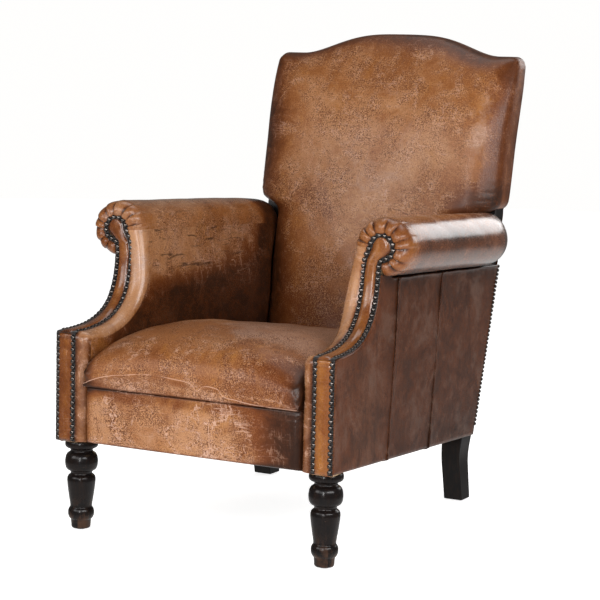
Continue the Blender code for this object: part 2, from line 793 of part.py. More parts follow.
def ribbon(places, normals, inner, outer, thickness):
    """A flat band along places in (y, z), spanning inner to outer in x at each place."""
    rings = []
    for (y, z), (ny, nz), x0, x1 in zip(places, normals, inner, outer):
        low = (y - ny * thickness, z - nz * thickness)
        rings.append([(x0, *low), (x1, *low), (x1, y, z), (x0, y, z)])
    return loft(rings)


def scoop_normal(t):
    y, z = scoop_point(t)
    y2, z2 = scoop_point(t, 1.0)
    return y - y2, z - z2


def build_facings(side, parent):
    outer = FRONT_HALF_WIDTH - GAP
    inner = POST_INNER - 0.0006
    post = loft([
        [(inner, FACING, UNDERSIDE), (outer, FACING, UNDERSIDE), (outer, 0.0, UNDERSIDE), (inner, 0.0, UNDERSIDE)],
        [(inner, FACING, 0.385), (outer, FACING, 0.385), (outer, 0.0, 0.385), (inner, 0.0, 0.385)],
        [(inner, FACING, 0.3930), (outer, FACING, 0.3930), (outer, 0.0015, 0.3930), (inner, 0.0015, 0.3930)],
    ])
    add_object("post_facing_" + side_name(side), for_side(post, side), "facing_leather", parent)
    places = [scoop_point(t) for t in SCOOP_STEPS] + [(0.190, 0.575)]
    normals = [scoop_normal(t) for t in SCOOP_STEPS] + [(-1.0, 0.0)]
    outers = [side_x(y, z) for y, z in places]
    inners = [inner] * len(places)
    bm = ribbon(places, normals, inners, outers, FACING)
    band = add_object("scroll_facing_" + side_name(side), for_side(bm, side), "facing_leather", parent)
    combine(band, for_side(crook_plate(), side), "UNION", "crook")


def crook_plate():
    """The leaf of the facing that fills the scroll, a rounded head on the stem."""
    return disc((0.2975, 0.5865), 0.0305, 0.190 + 0.0002, 0.190 + FACING + 0.0008, sides=20)


def nail_path():
    """The line that the nails follow, with the way they face, from the inner foot to the outer."""
    stops = []
    stem_in, stem_out = 0.2623, 0.2945
    post_in, post_out = 0.2682, 0.3020
    rise = [scoop_point(t) for t in SCOOP_STEPS[1:]]
    facing = [scoop_normal(t) for t in SCOOP_STEPS[1:]]

    def drift(y, near, far):
        return near + (far - near) * min(1.0, y / 0.16)

    def flank(near, far):
        column = [((near, 0.0, UNDERSIDE + 0.001), (0.0, -1.0, 0.0)),
                  ((near, 0.0, 0.3915), (0.0, -1.0, 0.0)), ((near, -0.0002, POST_TOP), (0.0, -0.7, 0.7))]
        for (y, z), (ny, nz) in zip(rise, facing):
            column.append(((drift(y, near, far), y, z), (0.0, ny, nz)))
        return column

    stops += flank(post_in, stem_in)
    centre = (0.3000, 0.5845)
    radius = 0.0245
    for degrees in (176, 156, 134, 112, 90, 66, 42, 18, -6, -32, -62):
        a = radians(degrees)
        stops.append(((centre[0] + radius * cos(a), 0.190, centre[1] + radius * sin(a)), (0.0, -1.0, 0.0)))
    stops.append(((0.2985, 0.190, 0.5555), (0.0, -1.0, 0.0)))
    outer = flank(post_out, stem_out)
    stops += list(reversed(outer[:-1]))
    return [(Vector(p), Vector(n).normalized()) for p, n in stops]


def gimp_strip():
    """The braid that lies on the facing under the nails."""
    stops = nail_path()
    rings = []
    for k, (place, normal) in enumerate(stops):
        before = stops[max(k - 1, 0)][0]
        after = stops[min(k + 1, len(stops) - 1)][0]
        along = (after - before).normalized()
        across = along.cross(normal).normalized() * (GIMP_WIDTH / 2)
        low = place + normal * GAP
        high = place + normal * (GAP + GIMP_THICKNESS)
        rings.append([low - across, low + across, high + across, high - across])
    return loft(rings)


def on_the_fold(place):
    """True at the bend over the top of the post, which holds no nail."""
    return place.y < 0.0055 and place.z > POST_TOP - 0.0075


def nail_places():
    stops = nail_path()
    travelled = NAIL_PITCH / 2
    places = []
    for (a, na), (b, nb) in zip(stops, stops[1:]):
        length = (b - a).length
        while travelled < length:
            place = a.lerp(b, travelled / length)
            if not on_the_fold(place):
                places.append((place, na.lerp(nb, travelled / length).normalized()))
            travelled += NAIL_PITCH
        travelled -= length
    return places


def nail_head(place, normal, sides=5):
    across = Vector((1, 0, 0)).cross(normal).normalized()
    up = normal.cross(across)
    rings = []
    for share, height in ((1.0, 0.0006), (0.6, GIMP_THICKNESS + NAIL_RISE)):
        ring = []
        for k in range(sides):
            a = 2 * pi * k / sides
            side_step = across * (cos(a) * NAIL_RADIUS * share) + up * (sin(a) * NAIL_RADIUS * share)
            ring.append(place + normal * height + side_step)
        rings.append(ring)
    return loft(rings)


def build_nail_trim(side, parent):
    nails = bmesh.new()
    for place, normal in nail_places():
        merged(nails, nail_head(place, normal))
    trim = add_object("nail_trim_" + side_name(side), for_side(gimp_strip(), side), "gimp_and_nails", parent)
    combine(trim, for_side(nails, side), "UNION", "nails")


# ---------------------------------------------------------------- the whole chair

def main():
    clear_scene()
    chair = bpy.data.objects.new("chair", None)
    bpy.context.scene.collection.objects.link(chair)
    chair.location.y = -DEPTH_CENTRE
    back_rail_front = build_seat_rails(chair)
    build_corner_blocks(back_rail_front, chair)
    build_webbing(back_rail_front, chair)
    build_dust_cover(back_rail_front, chair)
    build_glides(chair)
    build_seat(chair)
    build_apron(chair)
    build_back(chair)
    build_outside_back(chair)
    build_arm_upholstery(chair)
    for side in (-1, 1):
        build_front_leg(side, chair)
        build_back_post(side, chair)
        build_arm_frame(side, chair)
        build_outside_arm(side, chair)
        build_facings(side, chair)
        build_nail_trim(side, chair)


main()
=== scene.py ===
"""A worn leather club chair: its covers, nails, turned legs and finishes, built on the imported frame."""

from math import asin, atan2, cos, exp, pi, radians, sin, sqrt

import bmesh
import bpy
from bpy.props import FloatProperty, FloatVectorProperty, PointerProperty
from mathutils import Matrix, Vector


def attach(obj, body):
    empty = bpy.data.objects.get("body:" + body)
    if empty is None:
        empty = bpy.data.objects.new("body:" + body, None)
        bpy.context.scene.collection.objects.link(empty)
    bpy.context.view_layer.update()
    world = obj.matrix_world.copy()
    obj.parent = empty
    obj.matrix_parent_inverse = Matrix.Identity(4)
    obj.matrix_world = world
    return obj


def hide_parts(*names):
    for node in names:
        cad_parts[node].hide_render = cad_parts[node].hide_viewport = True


bl_info = {
    "name": "Worn Club Chair",
    "version": (1, 0, 0),
    "blender": (4, 5, 0),
    "location": "3D View > Sidebar > Club Chair",
    "description": "Dresses the frame of a scroll-arm club chair in worn leather",
    "category": "Object",
}

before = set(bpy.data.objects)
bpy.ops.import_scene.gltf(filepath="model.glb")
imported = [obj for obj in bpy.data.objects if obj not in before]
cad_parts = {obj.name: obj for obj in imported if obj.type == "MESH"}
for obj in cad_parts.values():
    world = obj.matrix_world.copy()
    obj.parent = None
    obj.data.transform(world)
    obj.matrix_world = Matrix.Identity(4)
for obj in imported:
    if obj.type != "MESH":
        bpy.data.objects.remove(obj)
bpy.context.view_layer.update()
BODY = "root"
LEFT_AND_RIGHT = (-1, 1)

# The curves below are written with y = 0 on the front faces of the arm posts, so a finished
# piece is moved forward by this much to stand on the frame.
DEPTH_CENTRE = 0.4377

# Sizes that the covers share with the frame, in metres. The slopes are rises per metre.
UNDERSIDE = 0.182
UNDERSIDE_SLOPE = -0.056
SIDE_REAR = 0.2675
SIDE_FLARE = 0.0458
ARM_INNER = 0.2405
ARM_TAPER = 0.0269
PAD_HEIGHT = 0.490
PAD_SWELL = 0.012
POST_TOP = 0.397
FRONT_HALF_WIDTH = 0.309
STEM_HALF_WIDTH = 0.305
# the control points (y, z) of the curve that the front edge of the arm follows
SCOOP = ((0.0, 0.397), (0.130, 0.397), (0.190, 0.430), (0.190, 0.560))
SCROLL_Y = 0.190
SCROLL_CENTRE = (0.300, 0.5845)
SCROLL_INNER = 0.0285
ROLL_X = 0.299
ROLL_Z = 0.587
ROLL_SLOPE = 0.035
ROLL_FRONT = 0.214
ROLL_REAR = 0.7545
ROLL_HALF_WIDTH = 0.057
ROLL_HALF_HEIGHT = 0.0535
# the roll from front to rear: y, half width, half height and the x of its centre
ROLL_STATIONS = (
    (ROLL_FRONT, 0.0570, 0.0535, 0.2990), (0.30, 0.0570, 0.0535, 0.2990), (0.48, 0.0568, 0.0532, 0.2992),
    (0.60, 0.0565, 0.0530, 0.2992), (0.635, 0.0560, 0.0528, 0.2988), (0.66, 0.0545, 0.0525, 0.2972),
    (0.68, 0.0514, 0.0520, 0.2942), (0.70, 0.0470, 0.0510, 0.2898), (0.72, 0.0415, 0.0495, 0.2845),
    (0.737, 0.0350, 0.0465, 0.2785), (0.748, 0.0285, 0.0410, 0.2730), (ROLL_REAR, 0.0200, 0.0300, 0.2660),
)
RAKE = 0.189
BACK_REAR = 0.69965
BACK_COVER_GAP = 0.0036
BACK_EDGE = 0.092
BACK_BASE = 0.265
BACK_HALF = 0.293
SIDE_EASE = 0.46
WAIST = 0.2372
SHOULDER_TOP = 0.950
CAMEL_TOP = 0.9945
CAMEL_HALF_WIDTH = 0.235
CAMEL_REACH = 0.29
INSIDE_SHOULDER = 0.2958
OUTSIDE_SHOULDER = 0.293
LEG_X = 0.274
LEG_Y = 0.0395
# the thickness of each leather
ARM_HIDE = 0.0022
PANEL_HIDE = 0.0018
FACING_HIDE = 0.0012
# points closer than this are one point, and no distance is taken to be shorter than the second
MERGE = 0.00001
NO_DISTANCE = 1e-4


# ---------------------------------------------------------------- small mathematics

def clamp(value, low=0.0, high=1.0):
    return max(low, min(high, value))


def smooth(low, high, value):
    """Rises from 0 at low to 1 at high with no corners."""
    share = clamp((value - low) / (high - low))
    return share * share * (3 - 2 * share)


def mix(a, b, share):
    return a + (b - a) * share


def bump_at(value, centre, width):
    """A soft bump of height 1 at centre."""
    return exp(-((value - centre) / width) ** 2)


def quarter(distance, radius):
    """How far a rounded edge still has to rise this far in from it: 1 at the edge, 0 past the radius."""
    inside = clamp(distance / radius)
    return 1 - sqrt(max(0.0, 1 - (1 - inside) ** 2))


def nearest_of(a, b):
    """The smaller of two distances, eased where they are nearly alike."""
    return 1 / ((1 / max(a, NO_DISTANCE)) ** 4 + (1 / max(b, NO_DISTANCE)) ** 4) ** 0.25


def eased_across(u, ease):
    """From -1 to 1 across a cover, with its points set closer together towards both sides."""
    across = 2 * u - 1
    return across * (1.5 - 0.5 * across * across) * ease + across * (1 - ease)


def along(points, value):
    """Follows a smooth line through points of (position, numbers...) and gives the numbers at value."""
    if value <= points[0][0]:
        return points[0][1:]
    for k in range(len(points) - 1):
        a, b = points[k], points[k + 1]
        if value <= b[0]:
            before, after = points[max(k - 1, 0)], points[min(k + 2, len(points) - 1)]
            t = (value - a[0]) / (b[0] - a[0])
            made = []
            for n in range(1, len(a)):
                rise_a = (b[n] - before[n]) / (b[0] - before[0]) * (b[0] - a[0])
                rise_b = (after[n] - a[n]) / (after[0] - a[0]) * (b[0] - a[0])
                made.append((2 * t**3 - 3 * t**2 + 1) * a[n] + (t**3 - 2 * t**2 + t) * rise_a
                            + (3 * t**2 - 2 * t**3) * b[n] + (t**3 - t**2) * rise_b)
            return tuple(made)
    return points[-1][1:]


def measured(points):
    """Puts the distance travelled before each point, so that along() can follow the line."""
    travelled, made = 0.0, []
    for k, point in enumerate(points):
        if k:
            travelled += (Vector(point) - Vector(points[k - 1])).length
        made.append((travelled, *point))
    return made


def ripple(value, seed):
    """A gentle wandering between -1 and 1, the same on every run."""
    return (sin(value * 1.0 + seed * 1.7) + 0.6 * sin(value * 2.3 + seed * 3.1)
            + 0.4 * sin(value * 4.9 + seed * 0.6)) / 2


# ---------------------------------------------------------------- the chair's curves

def bezier(points, t):
    weights = ((1 - t) ** 3, 3 * t * (1 - t) ** 2, 3 * t * t * (1 - t), t**3)
    return tuple(sum(w * p[k] for w, p in zip(weights, points)) for k in (0, 1))


def scoop(t):
    """A point (y, z) of the arm's scooped front edge and the way it faces."""
    y, z = bezier(SCOOP, t)
    y2, z2 = bezier(SCOOP, t + 0.001)
    length = sqrt((y2 - y) ** 2 + (z2 - z) ** 2)
    return (y, z), (-(z2 - z) / length, (y2 - y) / length)


def underside(y):
    return UNDERSIDE + UNDERSIDE_SLOPE * y


def back_rear_y(z):
    return BACK_REAR + RAKE * z


def side_x(y, z):
    """The outer face of the side, widest at the front and tapering towards the back."""
    ease = clamp((z - POST_TOP) / 0.134)
    front = mix(FRONT_HALF_WIDTH, STEM_HALF_WIDTH, ease)
    rear = SIDE_REAR + SIDE_FLARE * (z - 0.15)
    return mix(front, rear, y / back_rear_y(z))


def roll_z(y):
    return ROLL_Z - ROLL_SLOPE * (y - 0.2)


def inner_x(y, z):
    """The padded inner face of the arm, narrowing towards the back of the seat and easing into the roll."""
    run, drop = clamp(y / 0.68), smooth(0.0, 0.19, roll_z(y) + 0.01 - z)
    reach = (z - PAD_HEIGHT) / (0.085 if z < PAD_HEIGHT else roll_z(y) - PAD_HEIGHT)
    swell = PAD_SWELL * max(0.0, 1 - reach * reach) ** 2
    return ARM_INNER - ARM_TAPER * run * drop - swell * (1 - run)


def panel_top(y):
    return roll_z(y) - ROLL_HALF_HEIGHT - 0.0004


def stuffing(x, z, near, from_top):
    """How thick the back's stuffing is at (x, z): a wide crown, eased round at the outline."""
    crown = nearest_of(BACK_HALF - abs(x), from_top)
    edge = BACK_EDGE * (1 - 0.45 * max(0.0, (z - 0.78) / 0.18) ** 2)
    return edge * (0.54 + 0.42 * (1 - quarter(near, 0.046)) + 0.28 * sin(pi / 2 * clamp(crown / 0.26)) ** 0.9)


def camel_z(x):
    reach = min(abs(x) / CAMEL_HALF_WIDTH, 1.0)
    return mix(SHOULDER_TOP, CAMEL_TOP, 0.5 + 0.5 * cos(pi * reach**1.6))


# ---------------------------------------------------------------- making pieces

MARKS = ("dark", "worn", "warm", "bloom_and_sheen", "polish", "scar")


class Marked:
    """A place on a piece with its marks: how dark (burnishing and painted shade), rubbed pale (partly a
    painted highlight), warm, greyed (handling and painted sheen) and polished the leather is, and how many
    centimetres it lies above the nearest long scratch."""

    def __init__(self, place, dark=0.0, worn=0.0, warm=0.0, bloom_and_sheen=0.0, polish=0.0, scar=1.0):
        self.place = Vector(place)
        self.wear_and_painted_light = (clamp(dark), clamp(worn), clamp(warm), clamp(bloom_and_sheen), clamp(polish, -1.0, 1.0),
                     clamp(scar, -1.0, 1.0))


def put(vert, marked, layers):
    vert.co = marked.place
    for layer, value in zip(layers, marked.wear_and_painted_light):
        vert[layer] = value


def mark_layers(bm):
    return [bm.verts.layers.float.new(name) for name in MARKS]


def kind_of(parts, kind):
    return [part for part in parts if isinstance(part, kind)]


def sheet(across, up, at):
    """A grid of leather. at(u, v) gives the Marked place of each point, with u and v from 0 to 1."""
    bm = bmesh.new()
    layers = mark_layers(bm)
    flat = bm.loops.layers.uv.new("UVMap")
    bmesh.ops.create_grid(bm, x_segments=across, y_segments=up, size=0.5)
    for face in bm.faces:
        for loop in face.loops:
            loop[flat].uv = (loop.vert.co.x + 0.5, loop.vert.co.y + 0.5)
    for vert in list(bm.verts):
        put(vert, at(vert.co.x + 0.5, vert.co.y + 0.5), layers)
    return bm


def drawn_out(bm, edges):
    """Extrudes the edges and gives the new points and the new edges opposite the old ones."""
    made = bmesh.ops.extrude_edge_only(bm, edges=edges)["geom"]
    return kind_of(made, bmesh.types.BMVert), kind_of(made, bmesh.types.BMEdge)


def sweep(count, steps, at):
    """A capped tube of count points a ring. at(k, s) gives the Marked place of point k on ring s."""
    bm = bmesh.new()
    layers = mark_layers(bm)
    number = bm.verts.layers.int.new("number")
    ring = bmesh.ops.create_circle(bm, segments=count, radius=1.0)["verts"]
    for k, vert in enumerate(ring):
        vert[number] = k
        put(vert, at(k, 0), layers)
    edges = list(bm.edges)
    bmesh.ops.contextual_create(bm, geom=edges)
    for step in range(1, steps):
        verts, edges = drawn_out(bm, edges)
        for vert in verts:
            put(vert, at(vert[number], step), layers)
    bmesh.ops.contextual_create(bm, geom=edges)
    return bm


def rim_of(bm):
    return [edge for edge in bm.edges if edge.is_boundary]


def close_behind(bm, place):
    """Extrudes the rim of a cover, moves each new point to place(point) and closes the flat behind."""
    verts, rim = drawn_out(bm, rim_of(bm))
    for vert in verts:
        vert.co = place(vert.co)
    bmesh.ops.contextual_create(bm, geom=rim)


def mirror(bm):
    bmesh.ops.scale(bm, vec=(-1, 1, 1), verts=bm.verts)
    bmesh.ops.reverse_faces(bm, faces=bm.faces)


def thicken(bm, thickness):
    """Gives a sheet its thickness on the inner side and closes its rim."""
    bm.normal_update()
    made = bmesh.ops.extrude_face_region(bm, geom=list(bm.faces), use_keep_orig=True)["geom"]
    for vert in kind_of(made, bmesh.types.BMVert):
        vert.co -= vert.normal * thickness


def finish_piece(name, bm, material, replaced=(), side=1, angle=50):
    """Turns a shape into a finished piece standing on the frame. Edges sharper than angle stay crisp."""
    bmesh.ops.remove_doubles(bm, verts=bm.verts, dist=MERGE)
    if side < 0:
        mirror(bm)
    bmesh.ops.translate(bm, vec=(0, -DEPTH_CENTRE, 0), verts=bm.verts)
    bmesh.ops.recalc_face_normals(bm, faces=bm.faces)
    mesh = bpy.data.meshes.new(name)
    bm.to_mesh(mesh)
    bm.free()
    mesh.shade_smooth()
    mesh.set_sharp_from_angle(angle=radians(angle))
    mesh.materials.append(material)
    piece = bpy.data.objects.new(name, mesh)
    bpy.context.scene.collection.objects.link(piece)
    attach(piece, BODY)
    if replaced:
        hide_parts(*replaced)


def side_name(side):
    return "right" if side > 0 else "left"


# ---------------------------------------------------------------- finishes

class Finish:
    """A procedural material while its nodes are being joined."""

    def __init__(self, name):
        self.material = bpy.data.materials.new(name)
        self.material.use_nodes = True
        self.tree = self.material.node_tree
        self.shader = self.tree.nodes["Principled BSDF"]
        self.places = self.add("ShaderNodeTexCoord").outputs["Object"]

    def add(self, kind, inputs=None, **settings):
        made = self.tree.nodes.new(kind)
        for key, value in settings.items():
            setattr(made, key, value)
        for key, value in (inputs or {}).items():
            self.feed(made.inputs[key], value)
        return made

    def feed(self, socket, value):
        if isinstance(value, bpy.types.NodeSocket):
            self.tree.links.new(value, socket)
        else:
            socket.default_value = value

    def shade(self, **values):
        for key, value in values.items():
            self.feed(self.shader.inputs[key.replace("_", " ")], value)
        return self.material

    def wave(self, places, scale, distortion, direction, detail=2.0):
        inputs = {"Vector": places, "Scale": scale, "Distortion": distortion, "Detail": detail}
        return self.add("ShaderNodeTexWave", inputs, bands_direction=direction).outputs["Fac"]

    def stretched(self, scale, turn=(0, 0, 0)):
        inputs = {"Vector": self.places, "Scale": scale, "Rotation": turn}
        return self.add("ShaderNodeMapping", inputs).outputs[0]

    def noise(self, scale, detail=4.0, roughness=0.55, distortion=0.0, places=None):
        inputs = {"Vector": places or self.places, "Scale": scale, "Detail": detail, "Roughness": roughness,
                  "Distortion": distortion}
        return self.add("ShaderNodeTexNoise", inputs).outputs["Fac"]

    def cells(self, scale, output):
        return self.add("ShaderNodeTexVoronoi", {"Vector": self.places, "Scale": scale}).outputs[output]

    def attribute(self, name):
        return self.add("ShaderNodeAttribute", attribute_name=name).outputs["Fac"]

    def math(self, operation, a, b=0.0, limit=False):
        return self.add("ShaderNodeMath", {0: a, 1: b}, operation=operation, use_clamp=limit).outputs[0]

    def plus(self, a, b, limit=False):
        return self.math("ADD", a, b, limit)

    def minus(self, a, b, limit=False):
        return self.math("SUBTRACT", a, b, limit)

    def times(self, a, b, limit=False):
        return self.math("MULTIPLY", a, b, limit)

    def most(self, a, b):
        return self.math("MAXIMUM", a, b)

    def swing(self, noise, amount):
        """The noise, centred on 0 and this much stronger."""
        return self.times(self.minus(noise, 0.5), amount)

    def window(self, value, low, high):
        """Maps low..high to 0..1, easing at both ends."""
        inputs = {"Value": value, "From Min": low, "From Max": high}
        return self.add("ShaderNodeMapRange", inputs, interpolation_type="SMOOTHSTEP").outputs["Result"]

    def blend(self, share, a, b):
        made = self.add("ShaderNodeMix", data_type="RGBA", blend_type="MIX")
        for k, value in ((0, share), (6, a), (7, b)):
            self.feed(made.inputs[k], value)
        return made.outputs[2]

    def relief(self, height, distance, strength=1.0, under=None):
        inputs = {"Height": height, "Distance": distance, "Strength": strength}
        if under is not None:
            inputs["Normal"] = under
        return self.add("ShaderNodeBump", inputs).outputs["Normal"]


def shade_of(colour, factor):
    return tuple(channel * factor for channel in colour[:3]) + (1.0,)


# three families of short scratches: the stretch of their noise and its turn
SCRATCHES = (
    ((5.0, 5.0, 42.0), (0.10, 0.05, 0.2)), ((38.0, 30.0, 5.0), (0.05, 0.12, 0.4)),
    ((16.0, 44.0, 26.0), (0.9, 0.4, 0.7)),
)


def leather(name, colours, pores=1.0, roughness=0.34, scuffs=0.6, streaks=0.0, gloss=0.45, rubbing=1.0,
            evenness=0.25, crisp=0.20, smears=0.0, mottle=0.0, dull=0.0):
    """Waxed hide: clouded in several browns and pored in drifts, with pale scratches where it is rubbed."""
    pale, middle, deep, burnt_and_shade, ochre, haze_and_sheen = colours
    f = Finish(name)
    dark, worn, warm, bloom_and_sheen_mark, polish, scar = (f.attribute(mark) for mark in MARKS)
    drift = f.noise(5.0, 6.0, 0.62, 0.6)
    cloud = f.noise(21.0, 6.0, 0.72, 0.5)
    other = f.noise(10.0, 6.0, 0.70, 0.9, places=f.stretched((1.0, 1.0, 1.0), (0.7, 0.4, 1.9)))
    third = f.noise(14.0, 6.0, 0.70, 0.7, places=f.stretched((1.0, 1.0, 1.0), (1.9, 1.1, 0.3)))
    speck = f.noise(430.0, 2.0, 0.75)
    tone = f.plus(f.swing(drift, 1.7), f.swing(cloud, 1.9))
    # rubbed through, kept its warmth, gone golden, greyed by handling; then the greying mark (handling and
    # painted sheen) and the dark mark (burnishing and painted shade)
    colour = f.blend(f.window(f.plus(tone, worn), 0.25, 1.05), middle, pale)
    gold = f.window(f.plus(f.swing(third, 3.0), f.times(warm, 0.55)), 0.22, 0.85)
    colour = f.blend(f.times(gold, 0.75), colour, ochre)
    grey = f.plus(f.swing(third, -3.2), f.swing(worn, 0.8))
    colour = f.blend(f.times(f.window(grey, 0.25, 0.85), 0.60 * rubbing), colour, haze_and_sheen)
    glow = f.window(f.plus(f.swing(other, 2.2), f.times(warm, 0.9)), 0.24, 0.95)
    colour = f.blend(f.times(glow, 0.90), colour, deep)
    # painted sheen, with some real greying: the greying mark lays the haze colour where a highlight or
    # reflection is painted
    spread = f.window(f.plus(f.swing(cloud, 1.2), bloom_and_sheen_mark), 0.32, 0.80)
    colour = f.blend(f.times(spread, 0.85), colour, haze_and_sheen)
    # painted shade and burnished darkening: the dark mark, with the random tone, darkens the hide first
    # towards deep orange and then towards the darkest brown
    shadow = f.plus(f.times(tone, -0.45), dark)
    colour = f.blend(f.times(f.window(shadow, 0.08, 0.60), 0.80), colour, shade_of(deep, 0.95))
    colour = f.blend(f.window(shadow, 0.30, 1.05), colour, burnt_and_shade)
    # pores: small round pits, many where they gather, with a paler rim of rubbed grain between them
    left = f.times(f.minus(1.0, polish, limit=True), pores)
    pit = f.cells(380.0, "Distance")
    kept = f.cells(380.0, "Color")
    gather = f.window(f.plus(f.times(cloud, 0.75), f.times(other, 0.45)), 0.52, 0.70)
    many = f.plus(f.times(gather, 1.0 - evenness), evenness)
    chance = f.plus(f.times(many, 0.80), f.times(kept, 0.62))
    spot = f.times(f.window(pit, 0.50, 0.22), f.window(chance, 0.50, 0.74))
    fine = f.times(f.window(speck, 0.48, 0.57), many)
    colour = f.blend(f.times(fine, f.times(left, 0.95)), colour, shade_of(deep, 0.62))
    colour = f.blend(f.times(spot, left), colour, f.blend(0.72, burnt_and_shade, deep))
    rim = f.times(f.window(speck, 0.49, 0.40), f.plus(f.times(many, 0.8), 0.2))
    rim = f.times(rim, f.plus(f.times(f.window(shadow, 0.70, 0.12), 0.85), 0.15))
    colour = f.blend(f.times(rim, f.times(left, 0.55)), colour, shade_of(pale, 1.25))
    # pale scratches: thin level lines of stretched noise, broken up by a second noise, and the long ones
    broken = f.window(cloud, 0.47, 0.62)
    lines = None
    for scale, turn in SCRATCHES:
        level = f.noise(1.0, 4.0, 0.55, 0.3, places=f.stretched(scale, turn))
        line = f.window(f.math("ABSOLUTE", f.minus(level, 0.5)), 0.012, 0.003)
        lines = line if lines is None else f.most(lines, line)
    hair = f.times(f.times(lines, broken), f.plus(f.times(worn, 1.1), 0.05), limit=True)
    long = f.math("ABSOLUTE", f.plus(scar, f.swing(cloud, 0.40)))
    long = f.times(f.window(long, 0.11, 0.04), f.window(third, 0.36, 0.50))
    hair = f.most(f.times(hair, scuffs), f.times(long, 0.75))
    colour = f.blend(hair, colour, shade_of(haze_and_sheen, 1.55))
    if smears:
        rub = f.noise(1.0, 5.0, 0.7, 1.2, places=f.stretched((55.0, 7.0, 75.0), (0.12, 0.0, 0.0)))
        rub = f.times(f.window(rub, 0.56, 0.66), f.window(worn, 0.45, 0.75))
        colour = f.blend(f.times(f.times(rub, left), smears), colour, shade_of(burnt_and_shade, 1.2))
    if streaks:
        drag = f.noise(1.0, 5.0, 0.66, 0.5, places=f.stretched((200.0, 260.0, 30.0)))
        colour = f.blend(f.times(f.window(drag, 0.44, 0.66), streaks), colour, shade_of(burnt_and_shade, 1.3))
    if mottle:
        patch = f.noise(11.0, 8.0, 0.80, 0.4)
        colour = f.blend(f.times(f.window(patch, 0.52, 0.38), mottle * 0.6), colour, haze_and_sheen)
        colour = f.blend(f.times(f.window(patch, 0.50, 0.62), mottle), colour, shade_of(burnt_and_shade, 1.5))
    # grain: pits and creases, and slow waves where the hide is not quite flat
    grain = f.times(f.plus(f.times(spot, -0.6), f.times(speck, -0.8)), left)
    slow = f.noise(28.0, 3.0, 0.5)
    normal = f.relief(slow, 0.0013, 0.5)
    normal = f.relief(grain, 0.00050, 0.7, under=normal)
    rough = f.plus(roughness - 0.09, f.times(cloud, 0.18))
    rough = f.plus(rough, f.times(f.most(spot, hair), 0.15))
    rough = f.minus(rough, f.times(polish, 0.14))
    if dull:
        gloss = f.times(f.plus(f.times(polish, dull), 1.0 - dull, limit=True), gloss)
    return f.shade(Base_Color=colour, Roughness=rough, Normal=normal, Coat_Weight=gloss, Coat_Roughness=crisp,
                   Specular_IOR_Level=0.27)


def stained_wood(name, colour, worn_colour, gloss, wear_height=0.0, shine=0.22):
    """Dark polished wood, rubbed back to the timber low down."""
    f = Finish(name)
    grain = f.noise(1.0, 6.0, 0.6, 0.7, places=f.stretched((170.0, 170.0, 16.0)))
    patch = f.noise(38.0, 5.0, 0.6)
    body = f.blend(f.times(f.window(grain, 0.40, 0.70), 0.40), colour, shade_of(worn_colour, 0.16))
    rubbed = f.times(f.window(f.noise(120.0, 4.0, 0.7), 0.67, 0.72), 0.35)
    if wear_height:
        height = f.add("ShaderNodeSeparateXYZ", {"Vector": f.places}).outputs["Z"]
        low = f.window(height, wear_height, wear_height * 0.2)
        low = f.times(low, f.window(f.plus(patch, f.times(grain, 0.5)), 0.66, 0.92))
        rubbed = f.most(rubbed, f.times(low, 0.8))
    body = f.blend(rubbed, body, shade_of(worn_colour, 0.5))
    rough = f.plus(gloss, f.times(patch, 0.10))
    rough = f.plus(rough, f.times(rubbed, 0.25))
    return f.shade(Base_Color=body, Roughness=rough, Normal=f.relief(grain, 0.0003, 0.3), Coat_Weight=shine,
                   Coat_Roughness=0.10, Specular_IOR_Level=0.25)


def raw_wood(name, light, dark):
    f = Finish(name)
    rings = f.noise(1.0, 6.0, 0.6, 1.4, places=f.stretched((26.0, 26.0, 26.0)))
    fibre = f.noise(1.0, 5.0, 0.65, 0.2, places=f.stretched((40.0, 300.0, 300.0)))
    share = f.plus(f.times(rings, 0.6), f.times(fibre, 0.4))
    colour = f.blend(f.window(share, 0.35, 0.68), light, dark)
    return f.shade(Base_Color=colour, Roughness=f.plus(0.5, f.times(fibre, 0.2)),
                   Normal=f.relief(fibre, 0.0002, 0.5))


def aged_brass(name, bright, tarnish):
    """Domed nails: dark patina in the hollows, rubbed bright on their crowns."""
    f = Finish(name)
    patina = f.noise(260.0, 4.0, 0.65)
    per_nail = f.noise(60.0, 2.0, 0.5)
    crown = f.attribute("worn")
    share = f.plus(crown, f.plus(f.times(patina, 0.35), f.times(per_nail, 0.5)))
    colour = f.blend(f.window(share, 0.85, 1.45), tarnish, bright)
    rough = f.minus(0.40, f.times(crown, 0.22))
    return f.shade(Base_Color=colour, Metallic=1.0, Roughness=rough, Normal=f.relief(patina, 0.0002, 0.2))


def braid(name, colour):
    """Black gimp: a ribbed ribbon. Its ribs follow the ribbon's own lengthwise measure."""
    f = Finish(name)
    measure = f.add("ShaderNodeUVMap", uv_map="UVMap").outputs["UV"]
    rib = f.wave(measure, 1.0, 0.6, "Y")
    fuzz = f.noise(700.0, 3.0, 0.7)
    tint = f.blend(f.times(rib, 0.6), shade_of(colour, 0.45), colour)
    return f.shade(Base_Color=f.blend(f.times(fuzz, 0.3), tint, shade_of(colour, 1.8)), Roughness=0.62,
                   Normal=f.relief(f.plus(rib, f.times(fuzz, 0.4)), 0.0006, 0.8), Sheen_Weight=0.15)


def woven(name, warp, weft, threads):
    """Plain webbing or cloth."""
    f = Finish(name)
    across = f.wave(f.places, threads, 0.4, "X")
    down = f.wave(f.places, threads, 0.4, "Y")
    weave = f.times(across, down)
    colour = f.blend(f.window(f.plus(weave, f.times(f.noise(60.0), 0.4)), 0.2, 0.9), warp, weft)
    return f.shade(Base_Color=colour, Roughness=0.9, Normal=f.relief(weave, 0.0005, 0.7))


def turned_steel(name):
    f = Finish(name)
    rub = f.noise(300.0, 4.0, 0.7)
    return f.shade(Base_Color=f.blend(rub, (0.20, 0.20, 0.21, 1), (0.55, 0.55, 0.56, 1)), Metallic=1.0,
                   Roughness=f.plus(0.25, f.times(rub, 0.25)), Normal=f.relief(rub, 0.0001, 0.3))


# ---------------------------------------------------------------- inside back

